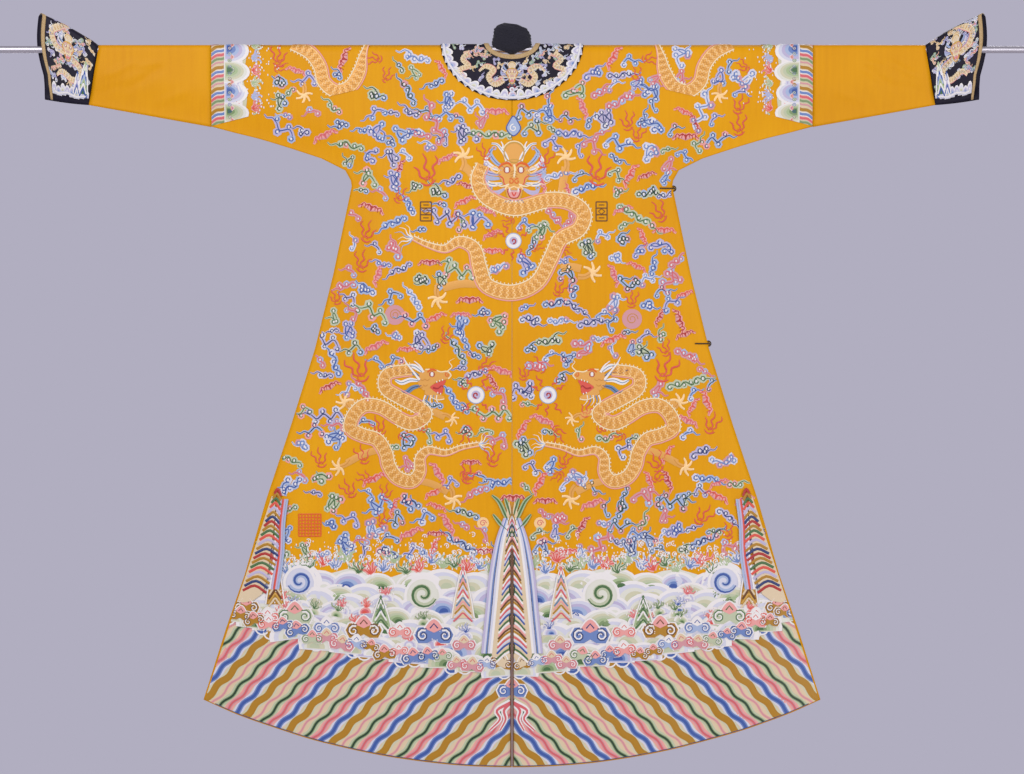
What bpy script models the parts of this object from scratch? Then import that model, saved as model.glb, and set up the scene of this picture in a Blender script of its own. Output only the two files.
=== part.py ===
"""Dragon robe hung flat on a round rod that runs through both sleeves.

Axes: +X is the wearer's right, -Y the robe's back, +Z up. The origin is on the rod's axis, at the
middle of the robe. Every length is in metres, written as millimetres times MM.

A point of the cloth is given by x and by its drop, the length of cloth down from the crest over the rod.
"""

import math
from collections import namedtuple

import bmesh
import bpy
from mathutils import Vector

MM = 0.001

# Rod and the cloth wound over it in the neck opening
ROD_DIAMETER = 14 * MM
ROD_LENGTH = 2100 * MM
ROD_SIDES = 32
WRAP_HOLE_DIAMETER = 15 * MM

# Cloth
CLOTH_WALL = 1.6 * MM
TRIM_WALL = 1.0 * MM
SEAM_GAP = 0.3 * MM
TRIM_GAP = 1.0 * MM  # a trim stands this far off the panel that it lies on
ROD_CLEARANCE = 0.7 * MM
CREST_RADIUS = ROD_DIAMETER / 2 + ROD_CLEARANCE + CLOTH_WALL
CREST_HALF_GAP = 0.4 * MM
PRESSED = CLOTH_WALL + SEAM_GAP / 2  # outer face of a wall at a pressed seam, from the middle plane
EDGE_RISE = 80 * MM  # width over which a wall stands up from its pressed edge
BODY_SWELL = 7 * MM  # extra half depth of the hanging body
SWELL_LENGTH = 500 * MM
LAP_STEP = 4 * MM  # the overlap lies this much in front of the underlap
LAP_STEP_RISE = 60 * MM  # drop over which the left front stands out to meet the overlap
LAP_STEP_WIDTH = 300 * MM
UNDERLAP_EDGE = 20 * MM

# Cut
SLEEVE_SEAM_X = 603 * MM
HEM_CENTRE = -1436 * MM
HEM_RISE = 0.35  # hem height gained per metre of width squared
HEM_CURVE_TOP = -800 * MM  # the grid rows start to follow the hem's curve here
VENT_TOP = -1020 * MM
VENT_HALF_WIDTH = 1.5 * MM
YOKE_LEVEL = -155 * MM  # underside of the sleeve at its seam

# Neck and collar, as half ellipses of the flat cloth
NECK_HALF_WIDTH = 47 * MM
BACK_NECK_DROP = CREST_RADIUS + 16 * MM
FRONT_NECK_DROP = CREST_RADIUS + 80 * MM
COLLAR_HALF_WIDTH = 143 * MM
BACK_COLLAR_DROP = CREST_RADIUS + 108 * MM
FRONT_COLLAR_DROP = CREST_RADIUS + 150 * MM
NECK_BINDING_WIDTH = 9 * MM
NECK_MARGIN = 0.6 * MM  # the collar's edge stands back this far from the neck's edge
LAP_EDGE_START = -84 * MM
LAP_BAND_WIDTH = 46 * MM
LAP_BAND_START = 2 * MM
LAP_BAND_SHORT = 30 * MM  # the band stops this far from the underarm
LAP_BAND_EASE = 160 * MM  # distance over which the band narrows from the collar's width
LAP_BAND_SPANS = 16
LAP_BAND_ROWS = 3
LAP_EDGE_STRAIGHT = 0.35  # share of the overlap edge's fall that is straight, the rest a power curve
LAP_EDGE_POWER = 2.2
FRONT_RIGHT_SPOKES = 9  # the right front's collar ends above the overlap's edge

# Half outline of the flat robe, from the cuff under the sleeve and down the side to the hem
Outline = namedtuple("Outline", "half_width level")
HALF_OUTLINE = [
    Outline(848 * MM, -111 * MM),
    Outline(603 * MM, -155 * MM),
    Outline(505 * MM, -179 * MM),
    Outline(449 * MM, -196 * MM),
    Outline(382 * MM, -218 * MM),
    Outline(334 * MM, -242 * MM),
    Outline(320 * MM, -268 * MM),
    Outline(358 * MM, -450 * MM),
    Outline(395 * MM, -600 * MM),
    Outline(442 * MM, -750 * MM),
    Outline(492 * MM, -900 * MM),
    Outline(535 * MM, -1050 * MM),
    Outline(573 * MM, -1160 * MM),
    Outline(618 * MM, -1302 * MM),
]
UNDERARM = Outline(320 * MM, -268 * MM)

# Places of the grid lines across a half panel, measured at the yoke, inside and outside the neck
NECK_COLUMNS = [x * MM for x in (0, 18, 31)]
OUTER_COLUMNS = [x * MM for x in (47.05, 120, 200, 280, 360, 440, 520, 575, 603)]
LAP_COLUMNS = [0, 0.08, 0.17, 0.27, 0.38, 0.49, 0.6, 0.7, 0.79, 0.86, 0.91, 0.95, 0.98, 1.0]  # shares
NECK_ANGLES = [math.radians(a) for a in (90, 65, 42, 20)]  # where the neck's edge crosses the rod
CREST_ANGLES = [math.radians(a) for a in (8, 35, 60, 90)]
# Spokes of a collar piece from the crest down to the centre line, close together over the rod
COLLAR_SPOKES = [math.radians(a) for a in
                 (0, 1.7, 3.4, 5.2, 7.0, 8.6, 10.5, 13, 16, 20, 26, 37, 50, 63, 76, 90)]
COLLAR_BANDS = 7
YOKE_STEPS = [0.28, 0.52, 0.76, 1.0]
OVERLAP_STEPS = [0.0, 0.15, 0.35, 0.65]  # from the overlap's edge down to the first level of the side

FOLD_EASE = 250 * MM  # drop over which a fold grows to its height
# Hanging folds of the body: x at the top, slant in x per metre of drop, half width, height, ends
Fold = namedtuple("Fold", "x slant half_width height top bottom")
FOLDS = [
    Fold(95 * MM, 0.06, 60 * MM, 3.0 * MM, -420 * MM, -1500 * MM),
    Fold(215 * MM, 0.16, 75 * MM, -3.5 * MM, -300 * MM, -1500 * MM),
    Fold(300 * MM, 0.24, 55 * MM, 3.0 * MM, -700 * MM, -1500 * MM),
    Fold(-110 * MM, -0.08, 70 * MM, -2.5 * MM, -500 * MM, -1500 * MM),
    Fold(-205 * MM, -0.17, 70 * MM, 3.5 * MM, -260 * MM, -1500 * MM),
    Fold(-290 * MM, -0.26, 60 * MM, -3.0 * MM, -650 * MM, -1500 * MM),
]

# Horse-hoof cuff: three sections from the sleeve seam to the free edge
CuffSection = namedtuple("CuffSection", "top_x top_z bottom_x bottom_z crest_radius")
CUFF_SECTIONS = [
    CuffSection(828 * MM, CREST_RADIUS, 848 * MM, -111 * MM, CREST_RADIUS),
    CuffSection(885 * MM, 45 * MM, 888 * MM, -107 * MM, 8 * MM),
    CuffSection(938 * MM, 72 * MM, 924 * MM, -100 * MM, 6 * MM),
]
CUFF_HALF_DEPTH = 12 * MM  # at the free edge
CUFF_BULGE = 8 * MM
CUFF_BULGE_REACH = 0.7  # share of the cuff's height that the bulge takes
CUFF_FAR_REACH = 12 * MM  # the front wall's edge stands out past the back wall's
CUFF_EDGE_RISE = 35 * MM
CUFF_BINDING_START = 0.93  # share of the cuff's length where its bound edge starts
SLEEVE_SPANS = 4
CUFF_SPANS = 5
WALL_STEPS = [0.22, 0.45, 0.66, 0.82, 0.93, 1.0]  # levels of a sleeve's wall below the rod

# Toggles: a ball on a cord strap, held by a loop of doubled cord
BALL_RADIUS = 5.5 * MM
LOOP_RADIUS = 5.5 * MM
LOOP_CORD = 2.2 * MM
LOOP_LENGTH = 30 * MM
STRAP_CORD = 2.8 * MM
STRAP_LENGTH = 26 * MM
TAIL_HALF_SPACING = 1.45 * MM
LOOP_CLEARANCE = 0.9 * MM
STRAP_CLEARANCE = 0.5 * MM
BALL_SINK = 0.1 * MM  # the ball's back reaches this far behind the loop's middle
TAIL_PLACES = [10 * MM, 17 * MM, 24 * MM, LOOP_LENGTH]
STRAP_PLACES = [STRAP_LENGTH, 17 * MM, 9 * MM, 2 * MM]
STRAP_TURN = 4.2 * MM  # a side strap passes this far outside the robe's edge
STRAP_FOOT = 1.6 * MM  # a strap ends this far behind the loop's middle
SIDE_TOGGLE_OUT = 1.5 * MM
SIDE_TOGGLE_LEVELS = {"arm": -278 * MM, "side": -589 * MM}
NECK_TOGGLE_X = 45 * MM
NECK_TOGGLE_LEVEL = -87 * MM
NECK_TAIL_LIFT = 0.4 * MM
NECK_STRAP_RISE = 2.7 * MM

# Colours
YELLOW_SILK = (0.75, 0.36, 0.01)
NAVY_SILK = (0.02, 0.015, 0.035)
GOLD_BRAID = (0.55, 0.4, 0.22)
BROWN_CORD = (0.06, 0.03, 0.01)
GILT_BRASS = (0.72, 0.5, 0.18)
GREY_METAL = (0.55, 0.54, 0.56)
DARK_COTTON = (0.015, 0.014, 0.025)


def smooth(share):
    """Ease from 0 to 1."""
    share = min(1.0, max(0.0, share))
    return share * share * (3 - 2 * share)


def mix(first, last, share):
    return first + (last - first) * share


def edge_distance(x, z):
    """Distance from a point of the flat robe to its outline under the arm and down the side."""
    point = Vector((abs(x), z))
    nearest = 1.0
    for start, end in zip(HALF_OUTLINE, HALF_OUTLINE[1:]):
        a = Vector((start.half_width, start.level))
        along = Vector((end.half_width, end.level)) - a
        share = min(1.0, max(0.0, (point - a).dot(along) / along.length_squared))
        nearest = min(nearest, (point - a - along * share).length)
    return nearest


def fold_height(x, z):
    """Height of the hanging folds at a point of the body."""
    height = 0.0
    for fold in FOLDS:
        away = (x - fold.x - fold.slant * (fold.top - z)) / fold.half_width
        if abs(away) < 1 and fold.bottom < z < fold.top:
            height += fold.height * (1 - away * away) ** 2 * smooth((fold.top - z) / FOLD_EASE)
    return height


def half_depth(x, z):
    """Distance of a wall's outer face from the middle plane, below the rod."""
    swell = BODY_SWELL * smooth(-z / SWELL_LENGTH)
    full = CREST_RADIUS + swell + fold_height(x, z)
    return mix(PRESSED, full, smooth(edge_distance(x, z) / EDGE_RISE))


def lap_step(x, z):
    """How far the left front stands out so that it meets the overlap at the centre."""
    return LAP_STEP * smooth(-z / LAP_STEP_RISE) * (1 - smooth(abs(x) / LAP_STEP_WIDTH))


def level_of(drop):
    """Height of a point of the cloth at that drop from the crest."""
    arc = CREST_RADIUS * math.pi / 2
    if drop < arc:
        return CREST_RADIUS * math.cos(drop / CREST_RADIUS)
    return arc - drop


def drop_of(level):
    """Drop of a point of the cloth below the rod's axis."""
    return CREST_RADIUS * math.pi / 2 - level


def cloth_point(x, drop, facing, layer=None):
    """Point of the outer face. facing is -1 on the back and 1 on the front."""
    level = level_of(drop)
    if drop < CREST_RADIUS * math.pi / 2:
        depth = CREST_RADIUS * math.sin(drop / CREST_RADIUS)
    else:
        depth = half_depth(x, level)
        if layer:
            depth += layer(x, level)
    return Vector((x, facing * depth, level))


def raised_point(x, drop, facing, lift, layer=None):
    """Point of the outer face moved out along the cloth's own normal."""
    step = 0.5 * MM
    here = cloth_point(x, drop, facing, layer)
    across = cloth_point(x + step, drop, facing, layer) - cloth_point(x - step, drop, facing, layer)
    down = cloth_point(x, drop + step, facing, layer) - cloth_point(x, max(0, drop - step), facing, layer)
    normal = across.cross(down).normalized() * facing
    return here + normal * lift


def half_width_at(level):
    """Half width of the robe's body at a level between the yoke and the hem."""
    rows = HALF_OUTLINE[1:]
    for upper, lower in zip(rows, rows[1:]):
        if lower.level <= level <= upper.level:
            share = (upper.level - level) / (upper.level - lower.level)
            return mix(upper.half_width, lower.half_width, share)
    return rows[0].half_width if level > rows[0].level else rows[-1].half_width


def hem_level(x):
    return HEM_CENTRE + HEM_RISE * x * x


def half_ellipse_drop(x, half_width, depth, outside=CREST_HALF_GAP):
    """Drop of the lower half of an ellipse at x, or the crest's gap outside it."""
    inside = 1 - (x / half_width) ** 2
    return max(outside, depth * math.sqrt(inside)) if inside > 0 else outside


def lap_edge_level(x):
    """Upper edge of the overlap, from the neck to the underarm."""
    share = min(1.0, x / UNDERARM.half_width)
    return mix(LAP_EDGE_START, UNDERARM.level,
               LAP_EDGE_STRAIGHT * share + (1 - LAP_EDGE_STRAIGHT) * share ** LAP_EDGE_POWER)


# Mesh building

def make_material(name, colour, roughness, metallic=0.0):
    material = bpy.data.materials.new(name)
    material.use_nodes = True
    shader = material.node_tree.nodes["Principled BSDF"]
    shader.inputs["Base Color"].default_value = (*colour, 1)
    shader.inputs["Roughness"].default_value = roughness
    shader.inputs["Metallic"].default_value = metallic
    material.diffuse_color = (*colour, 1)
    return material


def add_object(name, mesh, collection, material):
    piece = bpy.data.objects.new(name, mesh)
    collection.objects.link(piece)
    mesh.materials.append(material)
    return piece


def grid_sheet(name, rows, collection, material, wall, outside):
    """Open sheet through rows of points, given a wall that grows inward from its outer face.

    outside is a function that gives the outward direction at a point.
    """
    sheet = bmesh.new()
    grid = [[sheet.verts.new(point) for point in row] for row in rows]
    for upper, lower in zip(grid, grid[1:]):
        for i in range(len(upper) - 1):
            sheet.faces.new((upper[i], upper[i + 1], lower[i + 1], lower[i]))
    sheet.normal_update()
    turned = sum(face.normal.dot(outside(face.calc_center_median())) for face in sheet.faces)
    if turned < 0:
        bmesh.ops.reverse_faces(sheet, faces=sheet.faces)
    for face in sheet.faces:
        face.smooth = True
    mesh = bpy.data.meshes.new(name)
    sheet.to_mesh(mesh)
    sheet.free()
    piece = add_object(name, mesh, collection, material)
    solid = piece.modifiers.new("Wall", "SOLIDIFY")
    solid.thickness = wall
    solid.offset = -1
    solid.use_rim = True
    return piece


def outward(facing):
    """Outward direction of a back or front wall, which points up where it lies on the rod."""
    def direction(point):
        return Vector((0, facing * (abs(point.y) + MM), max(0.0, point.z)))
    return direction


# Robe body

def panel_shares(neck_drop):
    """Places of the grid lines as shares of the half width, close together where the neck meets the rod."""
    crossings = [NECK_HALF_WIDTH * math.sqrt(1 - (CREST_RADIUS * angle / neck_drop) ** 2)
                 for angle in NECK_ANGLES]
    return [x / SLEEVE_SEAM_X for x in NECK_COLUMNS + crossings + OUTER_COLUMNS]


def panel_rows(side, facing, top_drop, first_row, shares, inner_x=0.0, inner_edge=None, layer=None):
    """Rows of points of a body panel.

    side is -1 or 1. top_drop gives the drop of its upper edge at x. first_row is 0 for a panel that
    starts at the crest and 1 for the overlap, which starts at its slanting edge.
    """
    rows = []
    yoke_drop = drop_of(YOKE_LEVEL)
    if first_row == 0:
        x_places = [max(inner_x, SLEEVE_SEAM_X * share) for share in shares]
        x_places[-1] -= SEAM_GAP / 2
        steps = [0.0] + [CREST_RADIUS * angle / yoke_drop for angle in CREST_ANGLES] + YOKE_STEPS
        for step in steps:
            rows.append([cloth_point(side * x, mix(top_drop(x), yoke_drop, step), facing, layer)
                         for x in x_places])
        outline = HALF_OUTLINE[2:]
    else:
        outline = [row for row in HALF_OUTLINE if row.level < UNDERARM.level]
        first = outline[0]
        for step in OVERLAP_STEPS:
            places = [mix(UNDERARM.half_width - SEAM_GAP, first.half_width, step) * share
                      for share in shares]
            tops = [top_drop(UNDERARM.half_width * share) for share in shares]
            rows.append([cloth_point(side * x, mix(top, drop_of(first.level), step), facing, layer)
                         for x, top in zip(places, tops)])
    for row in outline:
        points = []
        for share in shares:
            x = mix(inner_x, row.half_width, share)
            curve = smooth((HEM_CURVE_TOP - row.level) / (HEM_CURVE_TOP - HALF_OUTLINE[-1].level))
            level = row.level + curve * (hem_level(x) - hem_level(row.half_width))
            if inner_edge:
                x += inner_edge(level) * (1 - share)
            points.append(cloth_point(side * x, drop_of(level), facing, layer))
        rows.append(points)
    return rows


def vent_opening(level):
    """How far a centre edge draws back from its seam, in the vent above the hem."""
    return VENT_HALF_WIDTH * smooth((VENT_TOP - level) / (VENT_TOP - HEM_CENTRE))


def back_neck(x):
    return half_ellipse_drop(x, NECK_HALF_WIDTH, BACK_NECK_DROP)


def front_neck(x):
    return half_ellipse_drop(x, NECK_HALF_WIDTH, FRONT_NECK_DROP)


def lap_top(x):
    return drop_of(lap_edge_level(x))


def overlap_layer(x, level):
    return LAP_STEP


def make_body(collection, silk):
    """Back halves, left front, underlap and overlap."""
    seam = SEAM_GAP / 2
    for name, side in (("back_left", -1), ("back_right", 1)):
        rows = panel_rows(side, -1, back_neck, 0, panel_shares(BACK_NECK_DROP), seam, vent_opening)
        grid_sheet(name, rows, collection, silk, CLOTH_WALL, outward(-1))
    front_shares = panel_shares(FRONT_NECK_DROP)
    rows = panel_rows(-1, 1, front_neck, 0, front_shares, seam, vent_opening, lap_step)
    grid_sheet("front_left", rows, collection, silk, CLOTH_WALL, outward(1))
    rows = panel_rows(1, 1, front_neck, 0, front_shares[1:], UNDERLAP_EDGE)
    grid_sheet("front_right", rows, collection, silk, CLOTH_WALL, outward(1))
    rows = panel_rows(1, 1, lap_top, 1, LAP_COLUMNS, seam, vent_opening, overlap_layer)
    grid_sheet("front_overlap", rows, collection, silk, CLOTH_WALL, outward(1))


# Sleeves and cuffs

def sleeve_bottom(x):
    """Underside of the plain sleeve length."""
    upper, lower = HALF_OUTLINE[1], HALF_OUTLINE[0]
    share = (x - upper.half_width) / (lower.half_width - upper.half_width)
    return mix(upper.level, lower.level, share)


def wall_ring():
    """Stations round a sleeve or cuff, from the back's lower edge over the rod to the front's.

    Each is a facing and a share of the wall's height, or 0 and an angle over the rod.
    """
    crest = [-angle for angle in reversed(CREST_ANGLES)] + [0.0] + CREST_ANGLES
    back = [(-1, step) for step in reversed(WALL_STEPS)]
    return back + [(0, angle) for angle in crest] + [(1, step) for step in WALL_STEPS]


def sleeve_ring(side, end_share):
    """Open ring of the sleeve, from the back's lower edge over the rod to the front's."""
    top_end = CUFF_SECTIONS[0].top_x - SEAM_GAP / 2
    bottom_end = CUFF_SECTIONS[0].bottom_x - SEAM_GAP / 2
    start = SLEEVE_SEAM_X + SEAM_GAP / 2
    points = []
    for facing, value in wall_ring():
        if facing == 0:
            x = mix(start, top_end, end_share)
            depth = CREST_RADIUS * math.sin(value)
            points.append(Vector((side * x, depth, CREST_RADIUS * math.cos(value))))
            continue
        x = mix(start, mix(top_end, bottom_end, value), end_share)
        level = sleeve_bottom(x) * value
        points.append(Vector((side * x, facing * half_depth(x, level), level)))
    return points


def cuff_section(share):
    """Cuff sizes at a share of its length: a parabola through the three sections."""
    first, middle, last = CUFF_SECTIONS
    weights = ((1 - share) * (1 - 2 * share), 4 * share * (1 - share), share * (2 * share - 1))
    return CuffSection(*(sum(w * v for w, v in zip(weights, values)) for values in zip(first, middle, last)))


def cuff_ring(side, share, lift=0.0):
    """Open ring of the cuff at a share of its length, its wall moved out by lift."""
    size = cuff_section(share)
    centre = size.top_z - size.crest_radius
    full = mix(CREST_RADIUS, CUFF_HALF_DEPTH, smooth(share))
    points = []
    for facing, value in wall_ring():
        if facing == 0:
            depth = (full + lift) * math.sin(value)
            level = centre + (size.crest_radius + lift) * math.cos(value)
            toward = math.sin(value)
        else:
            level = mix(centre, size.bottom_z, value)
            rise = smooth((level - size.bottom_z) / CUFF_EDGE_RISE)
            depth = facing * (mix(PRESSED, full, rise) + lift)
            toward = facing
        down = (size.top_z - level) / (size.top_z - size.bottom_z)
        x = mix(size.top_x, size.bottom_x, max(0.0, down)) + SEAM_GAP / 2
        x += share ** 2 * CUFF_BULGE * math.sin(math.pi * min(1.0, max(0.0, down) / CUFF_BULGE_REACH))
        x += share ** 2 * CUFF_FAR_REACH * (toward + 1) / 2
        points.append(Vector((side * x, depth, level)))
    return points


def away_from_middle(point):
    """Outward direction of a sleeve or cuff wall."""
    return Vector((0, point.y, max(0.0, point.z)))


def make_sleeves(collection, silk, navy, braid):
    for word, side in (("left", -1), ("right", 1)):
        rings = [sleeve_ring(side, i / SLEEVE_SPANS) for i in range(SLEEVE_SPANS + 1)]
        grid_sheet(f"sleeve_{word}", rings, collection, silk, CLOTH_WALL, away_from_middle)
        rings = [cuff_ring(side, i / CUFF_SPANS) for i in range(CUFF_SPANS + 1)]
        grid_sheet(f"cuff_{word}", rings, collection, navy, CLOTH_WALL, away_from_middle)
        # the binding lies on the cuff's edge, moved out by the seam gap and its own wall
        lift = SEAM_GAP + TRIM_WALL
        rings = [cuff_ring(side, share, lift) for share in (CUFF_BINDING_START, 1.0)]
        grid_sheet(f"cuff_binding_{word}", rings, collection, braid, TRIM_WALL, away_from_middle)


# Collar and neck binding

def ring_piece(inner, outer, spokes, facing, bands, lift, layer=None):
    """Rows of points of a flat ring between two half ellipses of the cloth, moved out by lift."""
    rows = []
    for angle in spokes:
        row = []
        for j in range(bands + 1):
            share = j / bands
            half_width = mix(inner[0], outer[0], share)
            depth = mix(inner[1], outer[1], share)
            x = half_width * math.cos(angle)
            drop = max(CREST_HALF_GAP, depth * math.sin(angle))
            row.append(raised_point(x, drop, facing, lift, layer))
        rows.append(row)
    return rows


def grown(size, width):
    """Half ellipse grown by a width all round."""
    return (size[0] + width, size[1] + width)


def make_collar(collection, navy, braid):
    """Collar pieces on the back and front, the band along the overlap, and the neck's binding."""
    lift = TRIM_GAP + TRIM_WALL
    back_neck_size = (NECK_HALF_WIDTH, BACK_NECK_DROP)
    front_neck_size = (NECK_HALF_WIDTH, FRONT_NECK_DROP)
    back_collar = (COLLAR_HALF_WIDTH, BACK_COLLAR_DROP)
    front_collar = (COLLAR_HALF_WIDTH, FRONT_COLLAR_DROP)
    right_spokes = COLLAR_SPOKES[:FRONT_RIGHT_SPOKES]
    left_spokes = [math.pi - angle for angle in COLLAR_SPOKES]
    whole = COLLAR_SPOKES + left_spokes[-2::-1]
    rows = ring_piece(grown(back_neck_size, NECK_MARGIN), back_collar, whole, -1, COLLAR_BANDS, lift)
    grid_sheet("collar_back", rows, collection, navy, TRIM_WALL, outward(-1))
    for name, spokes, layer in (("collar_front_left", left_spokes, lap_step),
                                ("collar_front_right", right_spokes, None)):
        rows = ring_piece(grown(front_neck_size, NECK_MARGIN), front_collar, spokes, 1, COLLAR_BANDS, lift,
                          layer)
        grid_sheet(name, rows, collection, navy, TRIM_WALL, outward(1))
    # the band follows the overlap's upper edge
    rows = []
    for i in range(LAP_BAND_SPANS + 1):
        x = mix(LAP_BAND_START, UNDERARM.half_width - LAP_BAND_SHORT, i / LAP_BAND_SPANS)
        top = lap_top(x) + NECK_MARGIN
        width = mix(FRONT_COLLAR_DROP - FRONT_NECK_DROP, LAP_BAND_WIDTH, smooth(x / LAP_BAND_EASE))
        rows.append([raised_point(x, top + width * j / LAP_BAND_ROWS, 1, lift, overlap_layer)
                     for j in range(LAP_BAND_ROWS + 1)])
    grid_sheet("overlap_band", rows, collection, navy, TRIM_WALL, outward(1))
    # the binding lies on the collar, round the neck
    lift = 2 * (TRIM_GAP + TRIM_WALL)
    for name, size, facing, spokes, layer in (
            ("neck_binding_back", back_neck_size, -1, whole, None),
            ("neck_binding_left", front_neck_size, 1, left_spokes, lap_step),
            ("neck_binding_right", front_neck_size, 1, right_spokes, None)):
        inner = grown(size, NECK_MARGIN)
        rows = ring_piece(inner, grown(inner, NECK_BINDING_WIDTH), spokes, facing, 1, lift, layer)
        grid_sheet(name, rows, collection, braid, TRIM_WALL, outward(facing))


# Rod, neck wrap and toggles

def make_rod(collection, metal):
    bpy.ops.mesh.primitive_cylinder_add(vertices=ROD_SIDES, radius=ROD_DIAMETER / 2, depth=ROD_LENGTH)
    rod = bpy.context.object
    rod.name = "rod"
    rod.rotation_euler = (0, math.pi / 2, 0)
    for owner in list(rod.users_collection):
        owner.objects.unlink(rod)
    collection.objects.link(rod)
    rod.data.materials.append(metal)
    rod.data.shade_smooth()
    rod.data.set_sharp_from_angle(angle=math.radians(40))


# Sections of the wrap from its foot up: level, left and right reach, half depth
WrapSection = namedtuple("WrapSection", "level left right half_depth")
WRAP_SECTIONS = [
    WrapSection(-10.5 * MM, -7 * MM, 7 * MM, 5 * MM),
    WrapSection(-7 * MM, -12 * MM, 12 * MM, 9 * MM),
    WrapSection(0 * MM, -34 * MM, 34 * MM, 14 * MM),
    WrapSection(10 * MM, -42 * MM, 42 * MM, 17 * MM),
    WrapSection(28 * MM, -40 * MM, 39 * MM, 18 * MM),
    WrapSection(42 * MM, -37 * MM, 32 * MM, 15 * MM),
    WrapSection(50 * MM, -29 * MM, 14 * MM, 10 * MM),
    WrapSection(54 * MM, -22 * MM, -8 * MM, 4 * MM),
]
WRAP_SIDES = 20


def make_neck_wrap(collection, cutters, cotton):
    """Rounded roll of cloth over the rod, with the rod's hole cut through it."""
    roll = bmesh.new()
    rings = []
    for section in WRAP_SECTIONS:
        middle = (section.left + section.right) / 2
        reach = (section.right - section.left) / 2
        ring = []
        for i in range(WRAP_SIDES):
            angle = math.tau * i / WRAP_SIDES
            # a rounded box in plan: the powers pull the circle out to its corners
            across = math.copysign(abs(math.cos(angle)) ** 0.6, math.cos(angle))
            through = math.copysign(abs(math.sin(angle)) ** 0.6, math.sin(angle))
            ring.append(roll.verts.new((middle + reach * across, section.half_depth * through,
                                        section.level)))
        rings.append(ring)
    for lower, upper in zip(rings, rings[1:]):
        for i in range(WRAP_SIDES):
            j = (i + 1) % WRAP_SIDES
            roll.faces.new((lower[i], lower[j], upper[j], upper[i]))
    roll.faces.new(list(reversed(rings[0])))
    roll.faces.new(rings[-1])
    mesh = bpy.data.meshes.new("neck_wrap")
    roll.to_mesh(mesh)
    roll.free()
    wrap = add_object("neck_wrap", mesh, collection, cotton)
    bpy.ops.mesh.primitive_cylinder_add(vertices=ROD_SIDES, radius=WRAP_HOLE_DIAMETER / 2, depth=200 * MM,
                                        rotation=(0, math.pi / 2, 0))
    hole = bpy.context.object
    hole.name = "wrap_hole"
    hole.hide_render = True
    hole.display_type = "WIRE"
    for owner in list(hole.users_collection):
        owner.objects.unlink(hole)
    cutters.objects.link(hole)
    cut = wrap.modifiers.new("Rod hole", "BOOLEAN")
    cut.operation = "DIFFERENCE"
    cut.object = hole


def cord(name, points, diameter, collection, material):
    """Closed bar of cord through its points."""
    curve = bpy.data.curves.new(name, "CURVE")
    curve.dimensions = "3D"
    curve.bevel_depth = diameter / 2
    curve.bevel_resolution = 1
    curve.use_fill_caps = True
    curve.resolution_u = 1
    curve.render_resolution_u = 0
    spline = curve.splines.new("POLY")
    spline.points.add(len(points) - 1)
    for target, point in zip(spline.points, points):
        target.co = (*point, 1)
    piece = bpy.data.objects.new(name, curve)
    collection.objects.link(piece)
    curve.materials.append(material)
    return piece


def loop_points(centre, tail, tail_ends):
    """Doubled cord: out along one tail, round the ball's neck and back along the other tail.

    centre is the ring's centre, tail its direction in the XZ plane, tail_ends pairs of a distance
    along the tail and the Y of the cord there, nearest first.
    """
    aside = Vector((-tail.z, 0, tail.x))
    half_angle = math.asin(TAIL_HALF_SPACING / LOOP_RADIUS)
    ring = []
    for i in range(15):
        angle = mix(half_angle, math.tau - half_angle, i / 14)
        ring.append(centre + LOOP_RADIUS * (tail * math.cos(angle) + aside * math.sin(angle)))

    def tail_side(sign):
        return [Vector((centre.x, y, centre.z)) + tail * along + aside * sign * TAIL_HALF_SPACING
                for along, y in tail_ends]
    return tail_side(1)[::-1] + ring + tail_side(-1)


def make_toggle(word, centre, tail, tail_ends, strap, collection, gilt, brown):
    bpy.ops.mesh.primitive_uv_sphere_add(segments=16, ring_count=10, radius=BALL_RADIUS)
    ball = bpy.context.object
    ball.name = f"ball_{word}"
    ball.location = centre + Vector((0, BALL_RADIUS - BALL_SINK, 0))
    for owner in list(ball.users_collection):
        owner.objects.unlink(ball)
    collection.objects.link(ball)
    ball.data.materials.append(gilt)
    ball.data.shade_smooth()
    cord(f"loop_{word}", loop_points(centre, tail, tail_ends), LOOP_CORD, collection, brown)
    cord(f"strap_{word}", strap, STRAP_CORD, collection, brown)


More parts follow.
